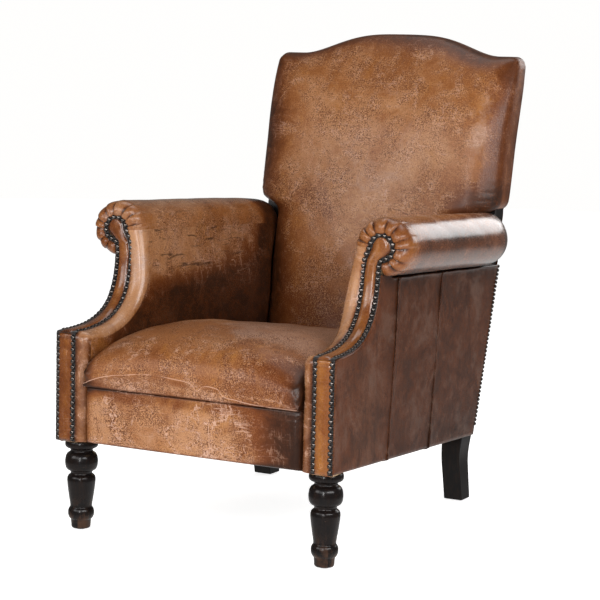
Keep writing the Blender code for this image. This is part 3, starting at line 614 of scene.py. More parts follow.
# the half width of the inside back at each height
BACK_SIDES = ((0.26, WAIST), (0.575, WAIST), (0.597, 0.2385), (0.608, 0.2440), (0.615, 0.2560),
              (0.620, 0.2700), (0.627, 0.2810), (0.638, 0.2880), (0.655, 0.2905), (0.715, 0.2915),
              (0.77, 0.2920), (0.85, 0.2945), (0.905, 0.2960), (0.96, 0.2955), (1.0, 0.2955))


def back_half_width(z):
    return along(BACK_SIDES, z)[0]


def shoulder_round(x, half, radius=0.024):
    """How far the top edge drops where it turns the corner into the side."""
    past = clamp((abs(x) - (half - radius)) / radius)
    return radius * (1 - sqrt(max(0.0, 1 - past * past)))


def back_point(u, v):
    """The stuffed face of the back, u across and v up, with its crown and its rounded edges."""
    across = eased_across(u, 0.35)
    guess = mix(BACK_BASE, camel_z(across * CAMEL_REACH), v)
    half = back_half_width(guess)
    x = across * half
    top = camel_z(x) - shoulder_round(x, INSIDE_SHOULDER)
    z = mix(BACK_BASE, top, v)
    from_side, from_top = (1 - abs(across)) * half, top - z
    near = nearest_of(from_side * SIDE_EASE, from_top)
    y = back_rear_y(z) - BACK_COVER_GAP - stuffing(x, z, near, from_top)
    # the cover is drawn tight at the shoulders and gathers in fine folds at the top corners
    pull = bump_at(z, 0.640, 0.030) * bump_at(from_side, 0.0, 0.045)
    y += 0.0011 * sin(z * 380 + 2.0 * across) * pull
    corner = exp(-sqrt((abs(x) - 0.285) ** 2 + (z - 0.935) ** 2) / 0.030)
    y += 0.0014 * sin(atan2(z - 0.945, abs(x) - 0.29) * 13) * corner
    y += 0.0013 * ripple(x * 20 + z * 13, 1.3) * smooth(0.0, 0.08, near)
    # painted shade: darker round the outline where the edge turns away (partly burnished too), low down where
    # the seat and arms shade the back, most in its lower corners, and on the left side, which gets less
    # light; less rubbed where shaded
    rim = 0.6 * (1 - smooth(0.0, 0.030, near)) + 0.4 * (1 - smooth(0.0, 0.062, near))
    low = smooth(0.51, 0.35, z)
    low_corner = smooth(0.66, 0.40, z) * smooth(0.14, 0.02, from_side)
    shoulder = smooth(0.16, 0.235, x) * smooth(0.705, 0.650, z) * smooth(0.59, 0.62, z)
    crest = bump_at(from_top, 0.018, 0.016) * smooth(-0.06, 0.10, x) * smooth(0.262, 0.20, x)
    left_shade = 0.42 * smooth(-0.16, -0.27, x) * bump_at(z, 0.76, 0.12)
    dark = (0.58 * rim + 0.14 * low + 0.38 * low_corner + 0.34 * shoulder + 0.22 * crest + left_shade
            + 0.12 * smooth(0.86, 0.95, z))
    worn = 0.46 + 0.30 * bump_at(x, 0.02, 0.15) * bump_at(z, 0.74, 0.17) - 0.25 * low - 0.3 * rim
    warm = (0.16 + 0.35 * rim + 0.45 * low_corner + 1.1 * shoulder + 0.35 * crest
            + 0.45 * smooth(0.07, 0.0, from_side) + 0.80 * low)
    return (x, y, z), dark, worn, warm


def shoulder_matt(x, z):
    """Where the back dives behind the right roll the finish has gone dull."""
    return smooth(0.16, 0.235, x) * smooth(0.705, 0.650, z)


def inside_back(material):
    def at(u, v):
        place, dark, worn, warm = back_point(u, v)
        x, _, z = place
        # painted highlights: a sheen down the middle and a bright band down the right flank, laid as paler,
        # greyed and less dark leather, with the polish raised there
        sheen = bump_at(x - 0.9 * (z - 0.68), 0.065, 0.055) * bump_at(z, 0.68, 0.10)
        flank = bump_at(x - 0.10 * (z - 0.80), 0.246, 0.022) * smooth(0.665, 0.76, z) * smooth(0.92, 0.84, z)
        bloom_and_sheen = 0.40 * sheen + 0.55 * flank
        polish = 0.5 * sheen + 0.7 * flank - shoulder_matt(x, z)
        return Marked(place, dark - 0.6 * flank, worn + 0.2 * sheen + 0.3 * flank, warm, bloom_and_sheen, polish)

    bm = sheet(across=96, up=120, at=at)
    layers = [bm.verts.layers.float[name] for name in MARKS]
    rim = rim_of(bm)
    # the side is turned back in two steps, the second as far as the outside back, each darker with painted
    # shade as it turns away
    for step, dark in ((0.35, 0.45), (1.0, 0.75)):
        verts, rim = drawn_out(bm, rim)
        for vert in verts:
            vert.co.y = mix(vert.co.y, back_rear_y(vert.co.z) - BACK_COVER_GAP, step)
            put(vert, Marked(vert.co, dark, 0.05, 0.45), layers)
    bmesh.ops.contextual_create(bm, geom=rim)
    finish_piece("inside_back", bm, material, ("inside_back_cover", "back_pad"))


# ---------------------------------------------------------------- seat

# heights of the seat cover's underside, over the webbing and over the front rail, and where the rail ends
SEAT_REST = 0.2600
SEAT_FOOT = 0.2952
RAIL_REAR = 0.0385
SEAT_HALF_GAP = 0.0013
# the section of the seat (y, z), from under its front edge up and back to the inside back
SEAT_LINE = measured((
    (0.0170, SEAT_FOOT), (0.0040, 0.2950), (-0.0080, 0.2951), (-0.0112, 0.2968), (-0.0126, 0.3030),
    (-0.0135, 0.3170), (-0.0127, 0.3400), (-0.0030, 0.3660), (0.0180, 0.3880), (0.0580, 0.4065),
    (0.1250, 0.4180), (0.2000, 0.4190), (0.3200, 0.4055), (0.4700, 0.3840), (0.5800, 0.3680),
    (0.6150, 0.3610), (0.6300, 0.3480),
))
# how high the rubbed band above the crease reaches, from the left arm to the right
RUBBED_EDGE = ((-0.245, 0.2985), (-0.194, 0.3180), (-0.129, 0.3290), (-0.079, 0.3335), (-0.030, 0.3300),
               (0.012, 0.3245), (0.021, 0.3120), (0.036, 0.3220), (0.068, 0.3205), (0.078, 0.3090),
               (0.112, 0.3030), (0.150, 0.2985), (0.245, 0.2975))


def seat_point(u, v):
    """The tight seat, u across and v from under its front edge to its rear."""
    across = eased_across(u, 0.30)
    y, z = along(SEAT_LINE, SEAT_LINE[-1][0] * v)
    half = inner_x(y, 0.30) - SEAT_HALF_GAP
    from_side = (1 - abs(across)) * half
    share = clamp((z - 0.300) / 0.10)
    z -= 0.045 * abs(across) ** 3.5 * share
    front = smooth(0.10, 0.0, y)
    z -= 0.011 * quarter(from_side, 0.014) * share
    y += 0.010 * quarter(from_side, 0.016) * front * smooth(0.298, 0.312, z)
    x = across * half
    # gathers where the cover is pulled round the corner by the post
    corner_z = 0.345 if across > 0 else 0.332
    away = sqrt(from_side ** 2 + (z - corner_z) ** 2 * 0.6 + max(0.0, y - 0.02) ** 2)
    turn = atan2(z - corner_z, from_side + 0.006)
    gather = exp(-away / 0.020) * front
    y += 0.0034 * sin(turn * 5.5 + (0.4 if across > 0 else 2.2)) * gather
    z += 0.0012 * sin(turn * 7.0 + 1.0) * gather
    # the flat pull that runs out from the left end of the crease
    pull = bump_at(z, 0.3065, 0.0075) * smooth(-0.115, -0.20, x) * front
    y += 0.0045 * pull
    crease_line = 0.3115 + 0.0022 * sin(x * 17 + 0.8) + 0.006 * x
    line = bump_at(z, crease_line, 0.0024) * front * smooth(0.24, 0.18, abs(x))
    y += 0.0009 * line
    # slow dips left by sitting
    z += 0.0022 * ripple(x * 19 + y * 8, 0.6) * smooth(0.02, 0.10, y) * smooth(0.0, 0.06, from_side)
    z -= 0.0040 * bump_at(x, 0.0, 0.13) * bump_at(y, 0.30, 0.16)
    # painted shade: darker along the sides against the arms, towards the rear under the back, in the crease
    # under the front lip and in the gathers at the front corners
    rim = 0.6 * (1 - smooth(0.0, 0.028, from_side)) + 0.4 * (1 - smooth(0.0, 0.075, from_side))
    rear = smooth(0.42, 0.60, y)
    lip = bump_at(z, 0.2952, 0.0022) * front
    dark = (0.62 * rim + 0.55 * rear + 0.70 * lip + 0.55 * gather + 0.16 * smooth(0.10, 0.20, x) * front
            + 0.22 * bump_at(z, 0.372, 0.014) * front)
    worn = (0.40 + 0.15 * front * smooth(0.24, 0.10, abs(x)) + 0.45 * line
            + 0.12 * bump_at(z, 0.306, 0.009) * front - 0.55 * rear - 0.4 * rim)
    worn -= 0.30 * bump_at(x, 0.13, 0.07) * front
    warm = 0.30 + 0.34 * rim + 0.80 * smooth(0.00, 0.20, x) * front - 0.3 * bump_at(z, 0.306, 0.009) * front
    over = z - along(RUBBED_EDGE, x)[0]
    dark += 0.24 * front * smooth(0.002, -0.003, over)
    bloom_and_sheen = front * (0.45 * smooth(0.002, -0.003, over) + 0.10 * bump_at(z, 0.300, 0.010))
    # painted reflection: the top of the seat is greyed as if it mirrored the bright room at a grazing angle
    bloom_and_sheen = max(bloom_and_sheen, 0.72 * smooth(0.03, 0.10, y) * smooth(-0.02, 0.10, x + 0.4 * y) * (1 - rear))
    scar = over * 100 if y < 0.03 else 1.0
    return Marked((x, y, z), dark, worn, warm, bloom_and_sheen, min(1.0, 1.3 * gather), scar)


def seat(material):
    bm = sheet(across=110, up=120, at=seat_point)
    close_behind(bm, lambda at: (at.x * 0.985, at.y, SEAT_REST if at.y > RAIL_REAR else SEAT_FOOT))
    finish_piece("seat", bm, material, ("seat_cover", "seat_foam"))


# ---------------------------------------------------------------- apron

APRON_HALF = 0.2390
APRON_LOW, APRON_HIGH = 0.1822, 0.2946
APRON_FACE, APRON_REAR = -0.0018, 0.0117
# the shares of the apron's rows where its turned-in foot ends and its rolled head begins
FOOT_ROWS, HEAD_ROWS = 0.12, 0.90
FOOT_ROUND, HEAD_ROUND = 0.0060, 0.0026


def apron_point(u, v):
    """The border under the seat, v running from its tucked-in foot up to the crease."""
    across = 2 * u - 1
    x = across * APRON_HALF
    if v < FOOT_ROWS:
        turn = v / FOOT_ROWS * pi / 2
        y, z = APRON_REAR - 0.0135 * sin(turn), APRON_LOW + FOOT_ROUND * (1 - cos(turn))
    elif v > HEAD_ROWS:
        turn = (v - HEAD_ROWS) / 0.10 * pi / 2
        y, z = APRON_FACE + 0.0060 * (1 - cos(turn)), APRON_HIGH - HEAD_ROUND * (1 - sin(turn))
    else:
        share = (v - FOOT_ROWS) / (HEAD_ROWS - FOOT_ROWS)
        y = APRON_FACE - 0.0020 * sin(pi * share)
        z = mix(APRON_LOW + FOOT_ROUND, APRON_HIGH - HEAD_ROUND, share)
    y -= 0.0050 * (1 - across**4) * smooth(0.0, FOOT_ROWS, v)
    from_side = (1 - abs(across)) * APRON_HALF
    y += 0.0090 * quarter(from_side, 0.009) * smooth(0.0, 0.10, v)
    y += 0.0011 * ripple(x * 30 + z * 22, 2.1) * sin(pi * v)
    pucker = exp(-from_side / 0.02) * bump_at(z, 0.288, 0.014)
    y += 0.0020 * sin(z * 520 + across) * pucker
    rim = 1 - smooth(0.0, 0.030, from_side)
    crown = bump_at(z, 0.283, 0.013)
    # painted shade: darker at the ends against the posts, under the seat's lip, where the foot turns under,
    # and in a band under the crease, heavier to the left; the right end is darker leather
    dark = (0.40 * rim + 0.55 * bump_at(z, 0.2935, 0.0025) + 0.6 * bump_at(z, 0.183, 0.007)
            + 0.85 * smooth(0.10, 0.215, x))
    dark += (0.15 + 0.40 * smooth(0.0, -0.22, x)) * bump_at(z, 0.292, 0.010)
    worn = (0.78 - 0.5 * rim - 0.30 * crown - 0.60 * smooth(0.08, 0.2, x) + 0.30 * bump_at(x, -0.205, 0.035)
            + 0.2 * bump_at(x, 0.03, 0.08))
    warm = 0.22 + 0.30 * rim + 0.55 * crown + 0.55 * smooth(0.05, 0.15, x)
    bloom_and_sheen = (0.45 * smooth(0.215, 0.190, z) * smooth(-0.10, 0.05, x)
             + 0.30 * bump_at(x, 0.01, 0.05) * bump_at(z, 0.225, 0.03))
    polish = max(0.8 * smooth(0.08, 0.20, x), 0.5 * crown)
    # one upright scratch, leaning a little
    scar = (x - 0.048 + 0.05 * (z - 0.24)) * 100 if z < 0.262 else 1.0
    return Marked((x, y, z), dark, worn, warm, bloom_and_sheen, polish, scar)


def apron(material):
    bm = sheet(across=80, up=44, at=apron_point)
    close_behind(bm, lambda at: (at.x, APRON_REAR, at.z))
    finish_piece("apron", bm, material, ("apron_cover", "apron_pad"))


# ---------------------------------------------------------------- inside arms and their rolls

# the shares of an arm cover's rows where the post and the stem end, and of its columns where the edge ends
POST_ROWS = 0.16
STEM_ROWS = 0.46
EDGE_COLUMNS = 0.34
STEM_HEAD = 0.572
ARM_FOOT, POST_HEAD = 0.1825, 0.392
EDGE_RADIUS, EDGE_BULGE = 0.0205, 0.0150
# where the cover meets the seat, and how far back it runs along the seat and behind the roll
SEAT_HEIGHT = 0.262
SEAT_BACK, WALL_BACK = 0.645, 0.752
# the angles of the stitch lines between the pleats, in degrees
PLEATS = (168, 141, 117, 82, 57, 24, 2, -32, -55, -86)
# the scroll's face from its nails out to the roll: share of the way, share of the radius and y
SCROLL_FACE = (
    (0.0, 0.00, 0.1912), (0.18, 0.16, 0.1890), (0.38, 0.40, 0.1886), (0.58, 0.66, 0.1916),
    (0.78, 0.88, 0.1985), (0.92, 0.98, 0.2065), (1.0, 1.00, 0.2140),
)


def nail_x(y, outer=False):
    near, far = (0.3020, 0.2945) if outer else (0.2682, 0.2623)
    return mix(near, far, clamp(y / 0.16))


def scoop_share(z):
    """Where the scoop reaches this height."""
    low, high = 0.0, 1.2
    for _ in range(30):
        middle = (low + high) / 2
        if bezier(SCOOP, middle)[1] < z:
            low = middle
        else:
            high = middle
    return low


STEM_HEAD_SHARE = scoop_share(STEM_HEAD)


def back_surface(x, z):
    """The depth at which the stuffed back stands, beside the arm."""
    return back_rear_y(z) - BACK_COVER_GAP - stuffing(x, z, max(WAIST - abs(x), 0.0) * SIDE_EASE, 0.30)


def wall_point(v, u):
    """The inner arm: over the padded front edge, then back along the seat to the chair's back."""
    if v < POST_ROWS:
        share = v / POST_ROWS
        y0, z0 = 0.0, mix(ARM_FOOT, POST_HEAD, share)
        ny, nz = -1.0, 0.66 * smooth(0.45, 1.0, share)
    else:
        share = (v - POST_ROWS) / (STEM_ROWS - POST_ROWS)
        (y0, z0), (ny, nz) = scoop(mix(0.012, STEM_HEAD_SHARE, share ** 0.85))
        turn = smooth(0.0, 0.10, share)
        ny, nz = mix(-0.75, ny, turn), mix(0.66, nz, turn)
    inside = inner_x(y0, z0)
    start = nail_x(y0) - 0.0040 + 0.008 * smooth(0.548, STEM_HEAD, z0)
    lean = asin(clamp((start - inside - EDGE_RADIUS) / EDGE_RADIUS, -0.9, 0.95))
    if u < EDGE_COLUMNS:
        e = u / EDGE_COLUMNS
        a = mix(lean, -pi / 2, e)
        x, out = inside + EDGE_RADIUS * (1 + sin(a)), EDGE_BULGE * (cos(a) - cos(lean)) - 0.0006
        pinch = bump_at(z0, 0.330, 0.022) * smooth(0.02, 0.0, y0) * smooth(0.2, 0.8, e)
        out -= 0.0020 * pinch * (1 + 0.6 * sin(z0 * 600))
        return (x, y0 + ny * out, z0 + nz * out), e, 0.0
    share = (u - EDGE_COLUMNS) / (1 - EDGE_COLUMNS)
    out = -EDGE_BULGE * cos(lean) - 0.0006
    ys, zs = y0 + ny * out, z0 + nz * out
    foot = v / STEM_ROWS
    # its far edge runs up behind the post, back along the seat and up beside the chair's back
    if foot < 0.20:
        ye, ze = 0.050, mix(ARM_FOOT, SEAT_HEIGHT, foot / 0.20)
    elif foot < 0.40:
        ye, ze = mix(0.050, SEAT_BACK, (foot - 0.20) / 0.20), SEAT_HEIGHT
    else:
        ze = mix(SEAT_HEIGHT, 0.568, (foot - 0.40) / 0.60)
        ye = mix(back_surface(inner_x(0.66, ze) + 0.006, ze) - 0.001, WALL_BACK, smooth(0.50, 0.568, ze))
    y, z = mix(ys, ye, share), mix(zs, ze, share)
    x = inner_x(y, z)
    x += 0.0013 * ripple(y * 17 + z * 11, 0.9) * smooth(0.0, 0.12, share) * smooth(1.0, 0.86, share)
    tuck = smooth(0.955, 1.0, share) if foot > 0.40 else 0.0
    return (x + 0.012 * tuck, y, z), 1.0, share


def pleat_height(angle):
    """The gathers round the scroll: 0 in a stitch line, a gentle rise to 1 and a sharp drop into the next."""
    for high, low in zip(PLEATS, PLEATS[1:]):
        if low <= angle <= high:
            share = (high - angle) / (high - low)
            return smooth(0.0, 0.72, share) * smooth(1.0, 0.86, share)
    return 1.0 if angle > PLEATS[0] else 0.0


def roll_point(v, u):
    """The rolled top, from its gathered front round the scroll to where it dies into the chair's back."""
    angle = mix(180.0, -86.0, (v - STEM_ROWS) / (1 - STEM_ROWS))
    a = radians(angle)
    e = min(u / EDGE_COLUMNS, 1.0)
    if u <= EDGE_COLUMNS:
        radial, y = along(SCROLL_FACE, e)
        near = (SCROLL_CENTRE[0] + SCROLL_INNER * cos(a), SCROLL_CENTRE[1] + SCROLL_INNER * sin(a))
        far = (ROLL_X + ROLL_HALF_WIDTH * cos(a), roll_z(ROLL_FRONT) + ROLL_HALF_HEIGHT * sin(a))
        x, z = mix(near[0], far[0], radial), mix(near[1], far[1], radial)
        lift = (pleat_height(angle) - 0.60) * smooth(180, 168, angle)
        size = 0.0058 * sin(pi * clamp(0.10 + e * 0.85)) ** 0.8
        y -= lift * size * (1 - 0.5 * e)
        x += lift * size * 0.5 * e * cos(a)
        z += lift * size * 0.5 * e * sin(a)
        return (x, y, z), e, 0.0, angle
    share = (u - EDGE_COLUMNS) / (1 - EDGE_COLUMNS)
    y = mix(ROLL_FRONT, ROLL_REAR, share)
    wide, high, centre = along(ROLL_STATIONS, y)
    lift = (pleat_height(angle) - 0.60) * 0.0023 * exp(-(y - ROLL_FRONT) / 0.011) * smooth(180, 168, angle)
    wave = 0.0006 * ripple(y * 17 + angle * 0.02, 2.4) * smooth(0.22, 0.28, y)
    swell = lift + wave
    x = centre + (wide + swell) * cos(a)
    z = roll_z(y) + (high + swell) * sin(a)
    return (x, y, z), 1.0, share, angle


def arm_point(u, v):
    """The inner arm and its roll: u runs from front to rear and v from the foot round to the outer side."""
    if v < STEM_ROWS:
        place, e, share = wall_point(v, u)
        x, y, z = Vector(place).lerp(roll_point(STEM_ROWS, u)[0], smooth(0.80, 1.0, v / STEM_ROWS))
        # painted shade: darker low down and towards the chair's back, where the seat and the back close in,
        # and along the seat line
        low, far = smooth(0.535, 0.40, z), smooth(0.08, 0.38, y)
        dark = (1.25 * low * far + 0.50 * smooth(0.46, 0.36, z) * smooth(0.22, 0.44, y)
                + 0.95 * smooth(0.615, 0.69, y) + 0.40 * smooth(0.34, 0.60, y) * smooth(0.58, 0.50, z))
        dark += 0.45 * low * smooth(0.02, 0.12, y) + 0.35 * bump_at(z, 0.372, 0.03) * smooth(0.03, 0.10, y)
        dark += 0.50 * bump_at(e, 0.0, 0.12)
        worn = (0.74 - 0.85 * low * smooth(0.0, 0.10, share) - 0.6 * smooth(0.60, 0.68, y)
                + 0.1 * smooth(0.45, 0.52, z))
        warm = 0.32 + 0.60 * low + 0.30 * bump_at(y, 0.60, 0.05) + 0.30 * (v < POST_ROWS)
        # on the padded front edge: paler across its middle and greyed, a painted highlight, with painted
        # shade next to the nails and, on the post, in the gap by the apron; it is polished there as well
        if share == 0.0:
            worn += 0.30 * sin(pi * e)
            warm = 0.10 + 0.45 * bump_at(e, 0.0, 0.2) + 0.25 * (v < POST_ROWS)
            dark = (0.50 * bump_at(e, 0.0, 0.16) + 0.22 * smooth(0.43, 0.39, z)
                    + (0.20 + 0.35 * smooth(0.6, 1.0, e)) * (v < POST_ROWS))
        bloom_and_sheen = 0.42 * bump_at(e, 0.72, 0.22) * (share == 0.0)
        return Marked((x, y, z), dark, worn, warm, bloom_and_sheen, 0.75 if share == 0.0 else 0.0)
    place, e, share, angle = roll_point(v, u)
    y = place[1]
    groove = (1 - pleat_height(angle)) * (1 - smooth(0.0, 0.05, share))
    groove = groove * sin(pi * clamp(0.1 + 0.85 * e)) * smooth(180, 168, angle)
    outer = smooth(120, 60, angle)
    # painted shade: in the stitch lines between the pleats, beside the nail ring, where the roll dies into
    # the back, and down its outer side and underside
    dark = (1.05 * groove**2.4 + 0.5 * bump_at(e, 0.0, 0.14) * (share == 0.0)
            + 0.9 * smooth(0.665, 0.72, y) * (angle > 60))
    dark += 0.35 * bump_at(angle, 22, 16) * bump_at(y, 0.42, 0.13) + 0.30 * bump_at(y, 0.232, 0.020) * outer
    dark += 0.30 * smooth(-40, -80, angle) + 0.25 * smooth(0.60, 0.74, y)
    worn = (0.50 - 0.15 * (share == 0.0) - 0.35 * smooth(0.66, 0.74, y) + 0.20 * bump_at(angle, 100, 40)
            - 0.30 * smooth(60, 0, angle))
    dark += 0.30 * smooth(50, -10, angle) * smooth(0.0, 0.1, share)
    warm = (0.12 + 0.35 * (1 - smooth(0.0, 0.09, share)) * outer + 0.18 * (share == 0.0)
            + 0.25 * bump_at(y, 0.64, 0.05))
    dark += 0.34 * smooth(110, 60, angle) * smooth(0.03, 0.10, share)
    polish = max(smooth(0.0, 0.06, share) * smooth(150, 95, angle) * smooth(0.745, 0.70, y),
                 0.7 * smooth(0.08, 0.03, share))
    # painted reflection: the polished lower outer side is greyed, as if it mirrored the pale floor
    bloom_and_sheen = 0.35 * polish * smooth(60, 0, angle) * smooth(0.0, 0.06, share)
    return Marked(place, dark, worn, warm, bloom_and_sheen, polish)


def inside_arm(side, material):
    bm = sheet(across=84, up=260, at=arm_point)
    thicken(bm, ARM_HIDE)
    label = side_name(side)
    finish_piece("inside_arm_" + label, bm, material,
                 ("inside_arm_cover_" + label, "arm_pad_" + label), side, angle=70)


# ---------------------------------------------------------------- outside arms

SEAM_FOOT, SEAM_HEAD = 0.16, 0.53
# the y of the two seams at their foot and at their head
SEAMS = ((0.248, 0.271), (0.460, 0.480))
# the raised fold along a seam: share of its width, how far it stands out and how far back it is
FOLD = ((0.0, -0.0016, 0.0010), (0.10, 0.0006, -0.0012), (0.22, 0.0021, -0.0008), (0.36, 0.0027, 0.0010),
        (0.52, 0.0022, 0.0032), (0.72, 0.0011, 0.0065), (0.88, 0.0003, 0.0110), (1.0, 0.0, 0.0180))
# how far under the arm's roll the side panels' folded top edges stand
RECESS = 0.0062
# the share of a panel's rows in the hem under the rail, and of the front panel's rows that stand on the post
HEM_ROWS = 0.06
FRONT_POST_ROWS = 0.62


def seam_y(index, z):
    low, high = SEAMS[index]
    return mix(low, high, (z - SEAM_FOOT) / (SEAM_HEAD - SEAM_FOOT))


def puckers(y, z, seed):
    """A few soft upright gathers where a panel is tacked up under the roll."""
    near = exp(-max(0.0, panel_top(y) - RECESS - z) / (0.016 + 0.010 * ripple(y * 31, seed * 1.9)))
    fold = max(0.0, ripple(y * 62, seed) + 0.15) ** 1.5
    return 0.0016 * fold * near


def top_edge(y, z):
    """The folded top edge of a panel: a small roll with the shadow between it and the arm's roll above it."""
    below = panel_top(y) - z - RECESS - 0.0008 * ripple(y * 40, 1.1)
    return 0.0014 * bump_at(below, 0.0024, 0.0020) - 0.0090 * smooth(0.0012, -0.0014, below)


# how far a panel lies in the recess under the roll; the panels darken it as painted shade
def in_recess(y, z):
    return smooth(RECESS + 0.0012, RECESS - 0.0010, panel_top(y) - z)


def panel_belly(y, z, seed):
    foot, head = smooth(0.0, 0.05, z - underside(y)), smooth(0.0, 0.05, panel_top(y) - z)
    return 0.0012 * ripple(y * 15 + z * 9, seed) * foot * head


def hem(v, y, z):
    """The foot of a panel, turned under the rail: how far in it goes and at what height."""
    if v > HEM_ROWS:
        return 0.0, z
    turn = v / HEM_ROWS * pi / 2
    return 0.012 * (1 - sin(turn)), underside(y) - 0.0002 + 0.004 * (1 - cos(turn))


def raised(v):
    """The share of the panel's height, once its hem is done."""
    share = clamp((v - HEM_ROWS) / (1 - HEM_ROWS))
    return share * 0.970 / 0.85 if share < 0.85 else mix(0.970, 1.0, (share - 0.85) / 0.15)


def front_panel_point(u, v):
    """The outside panel at the front, which follows the post and the scoop."""
    up = raised(v)
    if up < FRONT_POST_ROWS:
        y0, z0 = 0.0, mix(underside(0) + 0.004, 0.3935, up / FRONT_POST_ROWS)
        ny, nz = -1.0, 0.0
    else:
        share = (up - FRONT_POST_ROWS) / (1 - FRONT_POST_ROWS)
        (y0, z0), (ny, nz) = scoop(mix(0.012, scoop_share(panel_top(SCROLL_Y)), share ** 0.85))
        turn = smooth(FRONT_POST_ROWS, 0.66, up)
        ny, nz = mix(-0.75, ny, turn), mix(0.66, nz, turn)
    foot, head = seam_y(0, underside(0.25)), seam_y(0, SEAM_HEAD)
    y1, z1 = mix(foot, head, up), mix(underside(foot) + 0.004, panel_top(head), up)
    edge = 0.16
    if u < edge:
        e = u / edge
        if e < 0.4:
            x_in, out = mix(0.0065, 0.0042, e / 0.4), mix(-0.0006, 0.0006, e / 0.4)
        else:
            a = (e - 0.4) / 0.6 * pi / 2
            x_in, out = 0.0042 * (1 - sin(a)), 0.0006 - 0.0045 * (1 - cos(a))
        y, z = y0 + ny * out, z0 + nz * out
        across = 0.0
    else:
        across = (u - edge) / (1 - edge)
        x_in = 0.0
        out = -0.0039
        y, z = mix(y0 + ny * out, y1 + 0.001, across), mix(z0 + nz * out, z1, across)
    turned_in, z = hem(v, y, z)
    x = side_x(y, z) - x_in - turned_in + panel_belly(y, z, 1.1) * smooth(0.0, 0.2, across)
    x += (puckers(y, z, 0.4) + top_edge(y, z)) * smooth(0.55, 0.9, across) - 0.0005 * across
    near = smooth(0.34, 0.0, across)
    top = smooth(0.05, 0.0, panel_top(y) - z)
    # painted shade: darker under the roll, in the recess beneath it, and along the rear edge where the next
    # panel's fold covers it; the front edge is warmer leather
    dark = 0.30 + 0.45 * top + 0.30 * smooth(0.75, 1.0, across) - 0.35 * near + 0.25 * bump_at(u, 0.0, 0.03)
    dark += 0.12 * smooth(0.30, 0.42, z) * smooth(0.3, 0.8, across)
    dark += in_recess(y, z) * smooth(0.4, 0.8, across)
    worn = 0.42 + 0.18 * near - 0.25 * top
    warm = 0.35 + 0.65 * smooth(0.55, 0.05, across)
    return Marked((x, y, z), dark, worn, warm)


def seamed_panel_point(index):
    """A panel that starts in a raised fold over the one before it."""
    def at(u, v):
        up = raised(v)
        foot, head = seam_y(index, SEAM_FOOT), seam_y(index, SEAM_HEAD)
        y0, z0 = mix(foot, head, up), mix(underside(foot) + 0.004, panel_top(head), up)
        if index == 0:
            foot, head = seam_y(1, SEAM_FOOT), seam_y(1, SEAM_HEAD)
        else:
            foot, head = back_rear_y(0.143) - 0.0012, back_rear_y(0.513) - 0.0012
        y1, z1 = mix(foot, head, up), mix(underside(foot) + 0.004, panel_top(head), up)
        edge = 0.22
        if u < edge:
            lift, step = along(FOLD, u / edge)
            y, across = y0 + step, 0.0
            z = mix(z0, z1, (y - y0) / (y1 - y0))
        else:
            across = (u - edge) / (1 - edge)
            lift, share = 0.0, mix(0.018 / (y1 - y0), 1.0, across)
            y, z = mix(y0, y1, share), mix(z0, z1, share)
        turned_in, z = hem(v, y, z)
        x = side_x(y, z) + lift * (1 + 0.25 * ripple(z * 40, index)) - turned_in
        x += (panel_belly(y, z, 3.0 + index) + top_edge(y, z)
              + puckers(y, z, 1.5 * index + 2.0) * (1 if u > 0.1 else 0))
        if index == 1:
            x -= 0.0040 * quarter((1 - across) * 0.2 if u >= edge else 1.0, 0.006)
        top = smooth(0.035, 0.0, panel_top(y) - z)
        start = 1 - smooth(0.0, 0.5, u / edge) if u < edge else 0.0
        # painted shade: darker under the roll and in its recess, where the fold tucks under and at the far
        # edge; along the fold's crest paler, rubbed and a painted highlight
        dark = (0.50 + 0.35 * top + 0.55 * start + 0.20 * smooth(0.40, 0.50, z)
                - 0.25 * bump_at(u / edge, 0.42, 0.16))
        dark += 0.35 * smooth(0.93, 1.0, across) + 0.18 * smooth(0.25, 0.17, z)
        dark += in_recess(y, z)
        worn = 0.30 + 0.40 * bump_at(u / edge, 0.42, 0.14) - 0.15 * top
        warm = 0.22 + 0.15 * smooth(0.45, 0.30, z) - 0.1 * top
        return Marked((x, y, z), dark, worn, warm)
    return at


def outside_arm(side, material):
    """Three panels, each with its own grid, joined by raised seams."""
    panels = (("front", 60, 90, front_panel_point), ("middle", 48, 70, seamed_panel_point(0)),
              ("rear", 60, 70, seamed_panel_point(1)))
    for part, columns, rows, at in panels:
        bm = sheet(columns, rows, at)
        thicken(bm, PANEL_HIDE)
        name = "outside_arm_" + part + "_" + side_name(side)
        finish_piece("leather_" + name, bm, material, (name,), side, angle=70)


# ---------------------------------------------------------------- outside back

# the half width of the outside back at each height, and how deep it is
OUTSIDE_BACK_SIDES = ((0.14, 0.2622), (0.51, 0.2792), (0.69, 0.2802), (0.905, 0.2925), (1.0, 0.2935))
OUTSIDE_BACK_DEPTH = 0.0030


def outside_back_point(u, v):
    """The flat outside back, u across and v up."""
    across = 2 * u - 1
    low = 0.1485
    guess = mix(low, camel_z(across * CAMEL_REACH), v)
    half = along(OUTSIDE_BACK_SIDES, guess)[0]
    x = across * half
    z = mix(low, camel_z(x) - 0.0012 - shoulder_round(x, OUTSIDE_SHOULDER), v)
    from_edge = min((1 - abs(across)) * half, camel_z(x) - z, z - low + 0.002)
    y = (back_rear_y(z) - 0.0002 + 0.0016 * smooth(0.006, 0.06, from_edge)
         + 0.0010 * ripple(x * 14 + z * 11, 1.9) * smooth(0.01, 0.08, from_edge))
    y -= 0.0022 * quarter(from_edge, 0.004)
    y += 0.0009 * sin(z * 230) * exp(-(1 - abs(across)) * half / 0.012)
    dark = 0.50 + 0.35 * smooth(0.05, 0.0, from_edge) + 0.2 * smooth(0.35, 0.18, z)
    worn = 0.34 + 0.15 * bump_at(x, 0.0, 0.16) * bump_at(z, 0.65, 0.2)
    return Marked((x, y, z), dark, worn, 0.25 + 0.15 * smooth(0.06, 0.0, from_edge))


